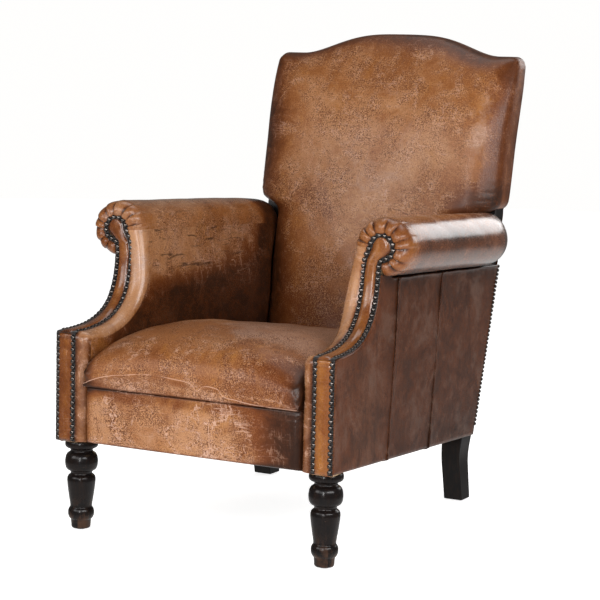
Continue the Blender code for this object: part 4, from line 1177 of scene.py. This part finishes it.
def outside_back(material):
    bm = sheet(across=70, up=100, at=outside_back_point)
    close_behind(bm, lambda at: (at.x, back_rear_y(at.z) - OUTSIDE_BACK_DEPTH, at.z))
    finish_piece("outside_back", bm, material, ("outside_back_panel",))


# ---------------------------------------------------------------- facings

FACING_BULGE = 0.0052
# how far the underside of a facing stands in front of the post
FACING_GAP = 0.0004
# the x of the facing's two edges where the stem runs into the scroll
NECK = (0.2665, 0.2965)
LEAF_RADIUS = 0.0225


def facing_bulge(u):
    """The padded strip between the two rows of nails."""
    return FACING_BULGE * sqrt(max(0.0, 1 - (abs(u - 0.5) / 0.37) ** 2))


def post_facing_point(u, v):
    """The padded strip up the front of the post, eased over its top."""
    x = mix(0.2632, 0.3078, u)
    z = mix(0.1815, 0.3985, v)
    out = FACING_GAP + facing_bulge(u) * smooth(0.0, 0.02, v) * smooth(1.0, 0.965, v)
    y = -out + 0.0055 * smooth(0.972, 1.0, v) ** 1.5
    z -= 0.0016 * (1 - sin(pi * u)) * smooth(0.95, 1.0, v)
    fold = bump_at(v, 0.945, 0.012)
    y += 0.0010 * fold * sin(pi * u)
    # painted shade towards the nails, where the strip curves away, and in the fold over the top; paler down
    # the crown: rubbed and a painted highlight
    dark = (0.6 * smooth(0.30, 0.46, abs(u - 0.5)) + 0.25 * fold + 0.3 * smooth(0.03, 0.0, v)
            + 0.35 * bump_at(v, 0.995, 0.02))
    worn = 0.62 * bump_at(u, 0.42, 0.20) + 0.25 * smooth(0.93, 0.98, v)
    return Marked((x, y, z), dark, worn, 0.55)


def scroll_facing_point(u, v):
    """Up the scoop between the nails, then a rounded leaf that fills the scroll."""
    stem = 0.74
    if v < stem:
        t = mix(-0.035, scoop_share(0.560), v / stem)
        if t < 0:
            (y, z), (ny, nz) = (t * 0.10, POST_TOP - 0.0004 + t * 0.02), (-0.5, 0.86)
        else:
            (y, z), (ny, nz) = scoop(t)
        low, high = nail_x(y), nail_x(y, True)
        neck = smooth(0.530, 0.562, z)
        low, high = mix(low, NECK[0], neck), mix(high, NECK[1], neck)
        x = mix(low, high, u)
        turn = 0.0
    else:
        turn = (v - stem) / (1 - stem)
        y, ny, nz = SCROLL_Y, -1.0, 0.0
        angle = mix(-0.62, 1.42, turn)
        neck_x, neck_z = mix(*NECK, u), 0.560
        round_x = SCROLL_CENTRE[0] + LEAF_RADIUS * cos(angle) * (2 * u - 1)
        round_z = SCROLL_CENTRE[1] + LEAF_RADIUS * sin(angle)
        ease = smooth(0.0, 0.35, turn)
        x, z = mix(neck_x, round_x, ease), mix(neck_z + 0.02 * turn, round_z, ease)
    out = FACING_GAP + facing_bulge(u) * (1 - 0.85 * smooth(0.80, 1.0, turn)) * smooth(0.0, 0.05, v)
    # painted shade towards the nails, where the strip curves away; paler and greyed down the crown: rubbed
    # and a painted sheen
    dark = (0.6 * smooth(0.28, 0.46, abs(u - 0.5)) + 0.5 * smooth(0.06, 0.0, v) + 0.3 * smooth(0.7, 1.0, turn)
            + 0.12 * turn)
    worn = 0.55 * bump_at(u, 0.40, 0.18) + 0.1
    return Marked((x, y + ny * out, z + nz * out), dark, worn, 0.58, 0.45 * bump_at(u, 0.36, 0.14))


def facings(side, material):
    """The padded strips up the arm's front; the left ones are darkened with painted shade."""
    for part, rows, at in (("post", 90, post_facing_point), ("scroll", 120, scroll_facing_point)):
        bm = sheet(across=18, up=rows, at=at)
        # painted shade: the left strips are darkened, as they get less light than the right ones
        if side < 0:
            shade = bm.verts.layers.float["dark"]
            for vert in bm.verts:
                vert[shade] = clamp(vert[shade] + 0.46)
        thicken(bm, FACING_HIDE)
        name = part + "_facing_" + side_name(side)
        finish_piece("leather_" + name, bm, material, (name,), side, angle=70)


# ---------------------------------------------------------------- gimp and nails

GIMP_HALF = 0.0053
GIMP_THICKNESS = 0.0012
GIMP_PITCH = 0.0030
# how fast the weave runs across the gimp and along it
GIMP_WEAVE_ACROSS = 60
GIMP_WEAVE_ALONG = 75
# the gimp's section: share of its half width and share of its thickness
GIMP_SECTION = (
    (-1.0, 0.05), (-1.0, 0.70), (-0.80, 1.0), (0.0, 1.15), (0.80, 1.0), (1.0, 0.70), (1.0, 0.05), (0.0, 0.0),
)
# the radius of the ring of nails round the scroll
NAIL_RING = 0.0245
# the rings of a nail's dome: share of its radius and share of its rise
DOME = ((1.0, 0.22), (0.86, 0.58), (0.52, 0.88))


def trim_line():
    """The line that the nails follow from the inner foot, round the scroll, to the outer foot."""
    ahead = (0, -1, 0)

    def flank(outer):
        x = nail_x(0, outer)
        stops = [((x, -FACING_GAP, z), ahead) for z in (UNDERSIDE + 0.0008, 0.300, 0.3890)]
        stops.append(((x, 0.0006, 0.3965), (0, -0.75, 0.66)))
        for step in range(2, 31):
            (y, z), (ny, nz) = scoop(step / 31)
            if z > 0.548:
                break
            stops.append(((nail_x(y, outer), y, z), (0, ny, nz)))
        return stops

    stops = flank(False)
    stops.append(((0.2655, SCROLL_Y, 0.5640), ahead))
    for degrees in range(172, -52, -14):
        a = radians(degrees)
        x, z = SCROLL_CENTRE[0] + NAIL_RING * cos(a), SCROLL_CENTRE[1] + NAIL_RING * sin(a)
        stops.append(((x, SCROLL_Y, z), ahead))
    stops.append(((0.2990, SCROLL_Y, 0.5595), ahead))
    stops.append(((0.2962, SCROLL_Y, 0.5510), ahead))
    return stops + list(reversed(flank(True)))


def trim_table():
    """The same line as numbers against the distance travelled, for along()."""
    stops = trim_line()
    travelled, table = 0.0, []
    for k, (place, facing) in enumerate(stops):
        if k:
            travelled += (Vector(place) - Vector(stops[k - 1][0])).length
        table.append((travelled, *place, *facing))
    return table


def trim_frame(table, distance):
    numbers = along(table, distance)
    place, out = Vector(numbers[:3]), Vector(numbers[3:]).normalized()
    ahead = Vector(along(table, min(distance + 0.0015, table[-1][0]))[:3])
    behind = Vector(along(table, max(distance - 0.0015, 0.0))[:3])
    forward = (ahead - behind).normalized()
    return place, out, forward.cross(out).normalized()


def gimp(side, table, material):
    length = table[-1][0]
    steps = int(length / GIMP_PITCH)

    def at(k, step):
        place, out, across = trim_frame(table, length * step / (steps - 1))
        reach, lift = GIMP_SECTION[k]
        scallop = 1 + 0.07 * sin(step * 2.4)
        return Marked(place + across * (GIMP_HALF * reach * scallop) + out * (0.0005 + GIMP_THICKNESS * lift))

    bm = sweep(len(GIMP_SECTION), steps, at)
    flat = bm.loops.layers.uv.new("UVMap")
    for face in bm.faces:
        for loop in face.loops:
            x, y, z = loop.vert.co
            loop[flat].uv = (x * GIMP_WEAVE_ACROSS, (y + z) * GIMP_WEAVE_ALONG)
    label = side_name(side)
    finish_piece("gimp_" + label, bm, material, (), side)


def nail_head(radius, rise):
    """A low dome on a straight rim, closed underneath, and marked as worn towards its crown."""
    bm = bmesh.new()
    layers = mark_layers(bm)
    bmesh.ops.create_circle(bm, segments=10, radius=radius)
    edges = list(bm.edges)
    for width, height in DOME:
        verts, edges = drawn_out(bm, edges)
        for vert in verts:
            reach = Vector((vert.co.x, vert.co.y, 0)).normalized() * radius * width
            vert.co = (reach.x, reach.y, rise * height)
    top = bmesh.ops.contextual_create(bm, geom=edges)["faces"]
    bmesh.ops.poke(bm, faces=top)
    for vert in bm.verts:
        if abs(vert.co.x) < radius * 0.1 and abs(vert.co.y) < radius * 0.1:
            vert.co = (0, 0, rise)
        vert[layers[MARKS.index("worn")]] = clamp(vert.co.z / rise)
    bmesh.ops.contextual_create(bm, geom=rim_of(bm))
    return bm


def nail_row(name, places, radius, rise, material, side=1, replaced=()):
    """Sets one nail at each (place, facing)."""
    pattern = bpy.data.meshes.new("nail")
    shape = nail_head(radius, rise)
    shape.to_mesh(pattern)
    shape.free()
    bm = bmesh.new()
    for number, (place, out) in enumerate(places):
        before = set(bm.verts)
        bm.from_mesh(pattern)
        fresh = [vert for vert in bm.verts if vert not in before]
        sway = (0.05 * sin(number * 2.1), 0.03 * sin(number * 3.7), 0.05 * sin(number * 1.3))
        tilt = Vector(out) + Vector(sway)
        turn = tilt.normalized().to_track_quat("Z", "Y").to_matrix().to_4x4()
        turn = Matrix.Translation(place) @ turn @ Matrix.Scale(1 + 0.03 * sin(number * 5.3), 4)
        bmesh.ops.transform(bm, matrix=turn, verts=fresh)
    bpy.data.meshes.remove(pattern)
    finish_piece(name, bm, material, replaced, side)


def facing_nails(side, table, pitch, radius, rise, material):
    length = table[-1][0]
    count = int(length / pitch)
    places = []
    for number in range(count):
        place, out, _ = trim_frame(table, (number + 0.5) * length / count)
        if not (place.y < 0.0045 and place.z > POST_TOP - 0.0075):
            places.append((place + out * (GIMP_THICKNESS * 0.9), out))
    label = side_name(side)
    nail_row("nails_" + label, places, radius, rise, material, side, ("nail_trim_" + label,))


def rear_line():
    """The edge of the outside back, from one foot over the crest to the other, 4 mm in from its rim."""
    stops = []
    for z in (0.153, 0.25, 0.35, 0.45, 0.51, 0.60, 0.69, 0.80, 0.90, 0.925):
        stops.append((along(OUTSIDE_BACK_SIDES, z)[0] - 0.0052, z))
    stops += [(0.2850, 0.9365), (0.2760, 0.9430), (0.2600, 0.9450)]
    for x in (0.235, 0.20, 0.165, 0.13, 0.095, 0.06, 0.03):
        stops.append((x, camel_z(x) - 0.0062))
    stops.append((0.0, camel_z(0) - 0.0062))
    return stops + [(-x, z) for x, z in reversed(stops[:-1])]


def side_rear_places(pitch):
    """Down the rear edge of each side, just ahead of the corner."""
    foot, head = 0.163, 0.507
    count = int((head - foot) / pitch)
    places = []
    for number in range(count):
        z = foot + (number + 0.5) * (head - foot) / count
        y = back_rear_y(z) - 0.0068
        places.append((Vector((side_x(y, z) - 0.0008, y, z)), Vector((1, 0.20, -0.04)).normalized()))
    return places


SIDE_NAIL_PITCH = 0.0085
SIDE_NAIL_RADIUS = 0.0038


def rear_nails(pitch, radius, rise, material):
    line = measured([(x, back_rear_y(z) - 0.0003, z) for x, z in rear_line()])
    length = line[-1][0]
    count = int(length / pitch)
    out = Vector((0, 1, -RAKE)).normalized()
    places = [(Vector(along(line, (number + 0.5) * length / count)), out) for number in range(count)]
    nail_row("nails_rear", places, radius, rise, material)
    places = side_rear_places(SIDE_NAIL_PITCH)
    for side in LEFT_AND_RIGHT:
        nail_row("nails_side_rear_" + side_name(side), places, SIDE_NAIL_RADIUS, rise, material, side)


# ---------------------------------------------------------------- legs

# the turned leg: radius and height
LEG_PROFILE = (
    (0.0172, 0.0030), (0.0187, 0.0050), (0.0193, 0.0120), (0.0200, 0.0190), (0.0204, 0.0210),
    (0.0216, 0.0216), (0.0240, 0.0250), (0.0256, 0.0300), (0.0257, 0.0335), (0.0256, 0.0370),
    (0.0240, 0.0420), (0.0221, 0.0444), (0.0215, 0.0456), (0.0217, 0.0500), (0.0226, 0.0570),
    (0.0238, 0.0640), (0.0265, 0.0830), (0.0281, 0.0980), (0.0280, 0.1020), (0.0272, 0.1060),
    (0.0250, 0.1090), (0.0224, 0.1108), (0.0213, 0.1125), (0.0213, 0.1150), (0.0222, 0.1166),
    (0.0225, 0.1180), (0.0262, 0.1192), (0.0285, 0.1210), (0.0308, 0.1245), (0.0318, 0.1285),
    (0.0325, 0.1365), (0.0316, 0.1450), (0.0302, 0.1492), (0.0278, 0.1528), (0.0240, 0.1556),
    (0.0222, 0.1572), (0.0219, 0.1595), (0.0226, 0.1616), (0.0240, 0.1628), (0.0278, 0.1640),
    (0.0305, 0.1655), (0.0321, 0.1678), (0.0326, 0.1705), (0.0326, 0.1735), (0.0320, 0.1765),
    (0.0312, 0.1782), (0.0300, 0.1797),
)


def front_leg(side, material):
    bm = bmesh.new()
    mark_layers(bm)
    line = measured(LEG_PROFILE)
    steps = 150
    points = [along(line, line[-1][0] * k / steps) for k in range(steps + 1)]
    points = [(0.0, points[0][1])] + points + [(0.0, points[-1][1])]
    verts = [bm.verts.new((radius, 0, height)) for radius, height in points]
    edges = [bm.edges.new(pair) for pair in zip(verts, verts[1:])]
    bmesh.ops.spin(bm, geom=verts + edges, axis=(0, 0, 1), cent=(0, 0, 0), steps=48, angle=2 * pi,
                   use_merge=True)
    bmesh.ops.remove_doubles(bm, verts=bm.verts, dist=MERGE)
    bmesh.ops.translate(bm, vec=(LEG_X, LEG_Y, 0), verts=bm.verts)
    label = side_name(side)
    finish_piece("turned_leg_" + label, bm, material, ("front_leg_" + label,), side)


# the rear leg and the post above it: height, outer x, rear y, width and depth
POST_SECTIONS = (
    (0.003, 0.257, 0.7370, 0.042, 0.043), (0.050, 0.257, 0.7285, 0.042, 0.045),
    (0.100, 0.257, 0.7230, 0.042, 0.050), (0.150, 0.2635, 0.7235, 0.046, 0.052),
    (0.260, 0.2680, 0.7445, 0.043, 0.045), (0.600, 0.2795, 0.8085, 0.042, 0.040),
    (0.867, 0.2835, 0.8590, 0.042, 0.040),
)
# the corners of its section, slightly bevelled, as shares of width and depth
POST_CORNERS = ((0.04, 0.0), (0.96, 0.0), (1.0, 0.04), (1.0, 0.96), (0.96, 1.0), (0.04, 1.0), (0.0, 0.96),
                (0.0, 0.04))


def rear_leg(side, material):
    foot, tall = 0.003, 0.864
    heights = [foot, 0.0042] + [foot + tall * (k / 60) ** 1.4 for k in range(4, 61)]

    def at(k, step):
        z = heights[step]
        outer, rear, width, depth = along(POST_SECTIONS, z)
        worn_in = 0.0008 if step == 0 else 0.0
        share_x, share_y = POST_CORNERS[k]
        x = outer - width + worn_in + (width - 2 * worn_in) * share_x
        y = rear - depth + worn_in + (depth - 2 * worn_in) * share_y
        return Marked((x, y, z))

    bm = sweep(len(POST_CORNERS), len(heights), at)
    label = side_name(side)
    finish_piece("rear_leg_" + label, bm, material, ("back_post_" + label,), side, angle=25)


# ---------------------------------------------------------------- the frame that still shows

def dress_frame(wood, stained, webs, lining, steel):
    """Gives every carried-over part of the frame its finish."""
    kinds = (
        (wood, ("front_rail", "back_rail", "side_rail", "corner_block", "arm_post")),
        (stained, ("arm_rail", "crest_rail", "back_stay")),
        (webs, ("webbing_long", "webbing_cross")),
        (lining, ("dust_cover",)),
        (steel, ("foot_glide",)),
    )
    for name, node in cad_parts.items():
        if node.hide_render:
            continue
        for material, starts in kinds:
            if name.startswith(starts):
                node.data.materials.clear()
                node.data.materials.append(material)
                break
        else:
            raise RuntimeError("no finish is given for " + name)


# ---------------------------------------------------------------- stage

# name, place, target, width and height in metres, power in watts
SOFT_BOXES = (
    ("front", (0.2, -3.2, 1.5), (0.0, -0.1, 0.5), 2.0, 1.3, 18),
    ("strip", (0.8, -2.9, 0.95), (0.2, -0.4, 0.45), 0.24, 1.4, 17),
    ("left", (-1.6, -2.9, 1.75), (0.0, 0.2, 0.6), 1.5, 1.5, 25),
    ("right", (2.75, -1.75, 1.80), (0.2, 0.0, 0.75), 2.8, 0.9, 62),
    ("behind", (0.8, 2.5, 1.5), (0.2, 0.0, 0.55), 1.8, 1.0, 16),
    ("top", (0.0, 0.6, 3.1), (0.0, 0.0, 0.5), 2.0, 1.6, 18),
)
FLOOR_RADIUS = 9.0
CAMERA_PLACE = (1.9614, -3.5899, 0.9321)
CAMERA_TURN = ((0.8752, -0.0775, 0.4776), (0.4834, 0.0936, -0.8704), (0.0228, 0.9926, 0.1194))
CAMERA_LENS = 119.58


def soft_box(name, place, target, width, height, power):
    light = bpy.data.lights.new(name, "AREA")
    light.shape = "RECTANGLE"
    light.size, light.size_y = width, height
    light.energy = power
    lamp = bpy.data.objects.new(name, light)
    bpy.context.scene.collection.objects.link(lamp)
    lamp.location = place
    lamp.rotation_mode = "QUATERNION"
    lamp.rotation_quaternion = (Vector(target) - Vector(place)).to_track_quat("-Z", "Y")
    lamp.visible_camera = False


def floor_material(colour):
    f = Finish("studio_floor")
    stain = f.noise(0.8, 3.0, 0.5)
    return f.shade(Base_Color=f.blend(f.times(stain, 0.05), colour, shade_of(colour, 0.96)), Roughness=0.9,
                   Emission_Color=(1.0, 1.0, 1.0, 1.0), Emission_Strength=0.80)


def studio_sky(front, behind):
    """A pale wall behind the chair, a dimmer room in front and a bright sheet below, seen as plain white."""
    world = bpy.data.worlds.new("studio")
    world.use_nodes = True
    tree = world.node_tree
    background = tree.nodes["Background"]
    background.inputs["Color"].default_value = (1.0, 0.995, 0.985, 1.0)

    def node(kind, values=(), links=(), **settings):
        """Adds a node and gives its outputs."""
        made = tree.nodes.new("ShaderNode" + kind)
        for key, value in settings.items():
            setattr(made, key, value)
        for key, value in values:
            made.inputs[key].default_value = value
        for key, source in links:
            tree.links.new(source, made.inputs[key])
        return made.outputs

    generated = node("TexCoord")["Generated"]
    way = node("SeparateXYZ", links=[("Vector", generated)])
    limits = (("From Min", -0.25), ("From Max", 0.55), ("To Min", front), ("To Max", behind))
    wall = node("MapRange", limits, [("Value", way["Y"])], interpolation_type="SMOOTHSTEP")["Result"]
    limits = (("From Min", -0.16), ("From Max", -0.36), ("To Min", 1.0), ("To Max", 5.0))
    sheet_below = node("MapRange", limits, [("Value", way["Z"])], interpolation_type="SMOOTHSTEP")["Result"]
    light = node("Math", links=[(0, wall), (1, sheet_below)], operation="MULTIPLY")["Value"]
    path = node("LightPath")
    limits = (("To Min", 1.0), ("To Max", 0.42))
    mirrored = node("MapRange", limits, [("Value", path["Is Glossy Ray"])])["Result"]
    dimmed = node("Math", links=[(0, light), (1, mirrored)], operation="MULTIPLY")["Value"]
    seen = node("Mix", [("B", 1.0)], [("Factor", path["Is Camera Ray"]), ("A", dimmed)])["Result"]
    tree.links.new(seen, background.inputs["Strength"])
    return world


def set_stage(colour, sky, power):
    bm = bmesh.new()
    bmesh.ops.create_circle(bm, cap_ends=True, segments=64, radius=FLOOR_RADIUS)
    mesh = bpy.data.meshes.new("floor")
    bm.to_mesh(mesh)
    bm.free()
    mesh.materials.append(floor_material(colour))
    ground = bpy.data.objects.new("floor", mesh)
    ground.visible_glossy = False
    bpy.context.scene.collection.objects.link(ground)
    scene = bpy.context.scene
    scene.world = studio_sky(front=0.45 * sky, behind=0.65 * sky)
    scene.view_settings.view_transform = "Standard"
    for name, place, target, width, height, watts in SOFT_BOXES:
        soft_box(name, place, target, width, height, watts * power)
    camera = bpy.data.cameras.new("camera")
    camera.lens = CAMERA_LENS
    camera.sensor_width = 36.0
    camera.clip_end = 100.0
    viewer = bpy.data.objects.new("camera", camera)
    scene.collection.objects.link(viewer)
    viewer.matrix_world = Matrix.Translation(CAMERA_PLACE) @ Matrix(CAMERA_TURN).to_4x4()
    scene.camera = viewer


# ---------------------------------------------------------------- settings, operators and panel

def colour_property(name, description, colour):
    return FloatVectorProperty(name=name, description=description, default=(*colour, 1.0), subtype="COLOR",
                               size=4, min=0.0, max=1.0)


def length_property(name, description, size, low, high):
    return FloatProperty(name=name, description=description, default=size, min=low, max=high, unit="LENGTH")


class ChairSizes(bpy.types.PropertyGroup):
    """Sizes of the trim that a maker would choose."""

    nail_radius: length_property("Nail radius", "Radius of a decorative nail's head", 0.0052, 0.003, 0.008)
    nail_rise: length_property("Nail rise", "Height of a nail's dome", 0.0037, 0.001, 0.006)
    nail_pitch: length_property("Nail pitch", "Distance between neighbouring nails", 0.0116, 0.010, 0.03)
    rear_radius: length_property("Rear nail radius", "Radius of the nails round the outside back", 0.0042,
                                 0.003, 0.008)


class ChairColours(bpy.types.PropertyGroup):
    """Colours of the leather, metal and wood."""

    pale: colour_property("Rubbed leather", "Where the top colour is worn through", (0.42, 0.205, 0.095))
    middle: colour_property("Leather", "The hide's main colour", (0.245, 0.085, 0.022))
    # also the first, warmer step of the painted shade
    deep: colour_property("Orange leather", "Where the stain has kept its warmth", (0.135, 0.031, 0.0040))
    # also the deepest painted shade in corners, creases and recesses
    burnt_and_shade: colour_property("Burnished leather", "Darkened edges and corners", (0.024, 0.0085, 0.0040))
    ochre: colour_property("Golden leather", "Where the hide has gone golden", (0.33, 0.125, 0.022))
    # also the colour of the painted sheen and reflections
    haze_and_sheen: colour_property("Bloomed leather", "Where handling has left a grey bloom", (0.34, 0.200, 0.140))
    outer: colour_property("Outside leather", "The smoother hide of the outer panels", (0.088, 0.033, 0.0155))
    brass: colour_property("Nail crowns", "Aged brass where it is rubbed", (0.20, 0.175, 0.16))
    tarnish: colour_property("Nail patina", "Aged brass in the hollows", (0.035, 0.028, 0.025))
    braid: colour_property("Gimp", "The ribbon under the nails", (0.008, 0.007, 0.007))
    ebony: colour_property("Leg polish", "The dark polish of the legs", (0.006, 0.0045, 0.0045))
    timber: colour_property("Leg timber", "Bare timber where the polish is worn", (0.13, 0.055, 0.025))
    floor: colour_property("Floor", "The studio floor", (0.90, 0.90, 0.90))
    sky: FloatProperty(name="Surround", description="Brightness of the plain surround", default=0.5, min=0.0,
                       max=5.0)
    lamps: FloatProperty(name="Soft boxes", description="Strength of the studio soft boxes", default=1.0,
                         min=0.0, max=10.0)


MATERIALS = {}
PANEL_HAZE = (0.150, 0.092, 0.068, 1.0)


def finish_for(name, colours):
    """Makes each finish once and hands it out again."""
    if name not in MATERIALS:
        pale, middle, deep, burnt_and_shade, ochre, haze_and_sheen, outer = (
            tuple(getattr(colours, key)) for key in ("pale", "middle", "deep", "burnt_and_shade", "ochre", "haze_and_sheen",
                                                     "outer"))
        hide = (pale, middle, deep, burnt_and_shade, ochre, haze_and_sheen)
        calm = (shade_of(outer, 1.5), outer, shade_of(deep, 0.8), shade_of(burnt_and_shade, 0.9), shade_of(outer, 1.2),
                PANEL_HAZE)
        strap = (shade_of(ochre, 1.1), shade_of(middle, 0.9), deep, burnt_and_shade, shade_of(ochre, 0.8),
                 shade_of(haze_and_sheen, 0.9))
        makers = {
            "inside": lambda: leather("worn_leather", hide, evenness=0.2, roughness=0.36, gloss=0.16),
            "seat": lambda: leather("seat_leather", hide, evenness=0.22, scuffs=0.9, rubbing=0.6,
                                    roughness=0.44, gloss=0.12),
            "arm": lambda: leather("arm_leather", hide, roughness=0.36, gloss=0.9, crisp=0.26, smears=0.8,
                                   dull=0.85),
            "outside": lambda: leather("outside_leather", calm, pores=0.8, roughness=0.33, scuffs=0.25,
                                       streaks=0.40, rubbing=0.6, gloss=0.10, mottle=0.60),
            "facing": lambda: leather("facing_leather", strap, pores=0.25, roughness=0.24, scuffs=0.30,
                                      gloss=0.9, crisp=0.12),
            "nails": lambda: aged_brass("nail_brass", tuple(colours.brass), tuple(colours.tarnish)),
            "gimp": lambda: braid("black_gimp", tuple(colours.braid)),
            "front_leg": lambda: stained_wood("turned_wood", tuple(colours.ebony), tuple(colours.timber),
                                              0.20, wear_height=0.075),
            "rear_leg": lambda: stained_wood("rear_leg_wood", shade_of(colours.ebony, 0.6),
                                             tuple(colours.timber), 0.34, shine=0.05),
            "beech": lambda: raw_wood("beech", (0.50, 0.34, 0.19, 1), (0.34, 0.21, 0.11, 1)),
            "web": lambda: woven("jute_web", (0.36, 0.27, 0.16, 1), (0.22, 0.16, 0.10, 1), 160.0),
            "lining": lambda: woven("dust_cloth", (0.014, 0.014, 0.015, 1), (0.030, 0.030, 0.032, 1), 240.0),
            "steel": lambda: turned_steel("glide_steel"),
        }
        MATERIALS[name] = makers[name]()
    return MATERIALS[name]


class ChairOperator(bpy.types.Operator):
    """Shared steps of the operators that make one group of pieces."""

    bl_options = {"REGISTER", "UNDO"}

    def execute(self, context):
        scene = context.scene
        self.make(scene.club_chair_sizes, scene.club_chair_colours)
        return {"FINISHED"}


class CHAIR_OT_stage(ChairOperator):
    """Lays the floor and sets the soft lights and the camera"""

    bl_idname = "club_chair.stage"
    bl_label = "Studio"

    def make(self, sizes, colours):
        set_stage(tuple(colours.floor), colours.sky, colours.lamps)


class CHAIR_OT_inside_back(ChairOperator):
    """Covers the stuffed back"""

    bl_idname = "club_chair.inside_back"
    bl_label = "Inside back"

    def make(self, sizes, colours):
        inside_back(finish_for("inside", colours))


class CHAIR_OT_seat(ChairOperator):
    """Covers the tight seat"""

    bl_idname = "club_chair.seat"
    bl_label = "Seat"

    def make(self, sizes, colours):
        seat(finish_for("seat", colours))


class CHAIR_OT_apron(ChairOperator):
    """Covers the border under the seat"""

    bl_idname = "club_chair.apron"
    bl_label = "Apron"

    def make(self, sizes, colours):
        apron(finish_for("seat", colours))


class CHAIR_OT_inside_arms(ChairOperator):
    """Covers both inner arms, their rolls and their gathered scrolls"""

    bl_idname = "club_chair.inside_arms"
    bl_label = "Inside arms"

    def make(self, sizes, colours):
        for side in LEFT_AND_RIGHT:
            inside_arm(side, finish_for("arm", colours))


class CHAIR_OT_outside_arms(ChairOperator):
    """Covers both outer sides with three seamed panels each"""

    bl_idname = "club_chair.outside_arms"
    bl_label = "Outside arms"

    def make(self, sizes, colours):
        for side in LEFT_AND_RIGHT:
            outside_arm(side, finish_for("outside", colours))


class CHAIR_OT_outside_back(ChairOperator):
    """Covers the outside back"""

    bl_idname = "club_chair.outside_back"
    bl_label = "Outside back"

    def make(self, sizes, colours):
        outside_back(finish_for("outside", colours))


class CHAIR_OT_facings(ChairOperator):
    """Fits the leather strips down the front of each arm"""

    bl_idname = "club_chair.facings"
    bl_label = "Facings"

    def make(self, sizes, colours):
        for side in LEFT_AND_RIGHT:
            facings(side, finish_for("facing", colours))


class CHAIR_OT_trim(ChairOperator):
    """Lays the gimp and sets the nails in it"""

    bl_idname = "club_chair.trim"
    bl_label = "Gimp and nails"

    def make(self, sizes, colours):
        table = trim_table()
        for side in LEFT_AND_RIGHT:
            gimp(side, table, finish_for("gimp", colours))
            facing_nails(side, table, sizes.nail_pitch, sizes.nail_radius, sizes.nail_rise,
                         finish_for("nails", colours))
        rear_nails(sizes.nail_pitch, sizes.rear_radius, sizes.nail_rise, finish_for("nails", colours))


class CHAIR_OT_front_legs(ChairOperator):
    """Turns the two front legs"""

    bl_idname = "club_chair.front_legs"
    bl_label = "Front legs"

    def make(self, sizes, colours):
        for side in LEFT_AND_RIGHT:
            front_leg(side, finish_for("front_leg", colours))


class CHAIR_OT_rear_legs(ChairOperator):
    """Shapes the two rear legs with the posts above them"""

    bl_idname = "club_chair.rear_legs"
    bl_label = "Rear legs"

    def make(self, sizes, colours):
        for side in LEFT_AND_RIGHT:
            rear_leg(side, finish_for("rear_leg", colours))


class CHAIR_OT_frame(ChairOperator):
    """Finishes the rails, webbing, lining and glides of the frame"""

    bl_idname = "club_chair.frame"
    bl_label = "Frame finishes"

    def make(self, sizes, colours):
        dress_frame(*(finish_for(name, colours) for name in ("beech", "rear_leg", "web", "lining", "steel")))


STEPS = (
    CHAIR_OT_stage, CHAIR_OT_inside_back, CHAIR_OT_seat, CHAIR_OT_apron, CHAIR_OT_inside_arms,
    CHAIR_OT_outside_arms, CHAIR_OT_outside_back, CHAIR_OT_facings, CHAIR_OT_trim, CHAIR_OT_front_legs,
    CHAIR_OT_rear_legs, CHAIR_OT_frame,
)


class CHAIR_PT_panel(bpy.types.Panel):
    """Lists the steps and the settings of the chair"""

    bl_idname = "CHAIR_PT_panel"
    bl_label = "Club Chair"
    bl_space_type = "VIEW_3D"
    bl_region_type = "UI"
    bl_category = "Club Chair"

    def draw(self, context):
        for step in STEPS:
            self.layout.operator(step.bl_idname)
        for group in (context.scene.club_chair_sizes, context.scene.club_chair_colours):
            box = self.layout.box()
            for name in group.__annotations__:
                box.prop(group, name)


CLASSES = (ChairSizes, ChairColours, *STEPS, CHAIR_PT_panel)


def register():
    for item in CLASSES:
        bpy.utils.register_class(item)
    bpy.types.Scene.club_chair_sizes = PointerProperty(type=ChairSizes)
    bpy.types.Scene.club_chair_colours = PointerProperty(type=ChairColours)


def unregister():
    del bpy.types.Scene.club_chair_colours
    del bpy.types.Scene.club_chair_sizes
    for item in reversed(CLASSES):
        bpy.utils.unregister_class(item)


def main():
    register()
    for step in STEPS:
        group, name = step.bl_idname.split(".")
        getattr(getattr(bpy.ops, group), name)()


if __name__ == "__main__":
    main()
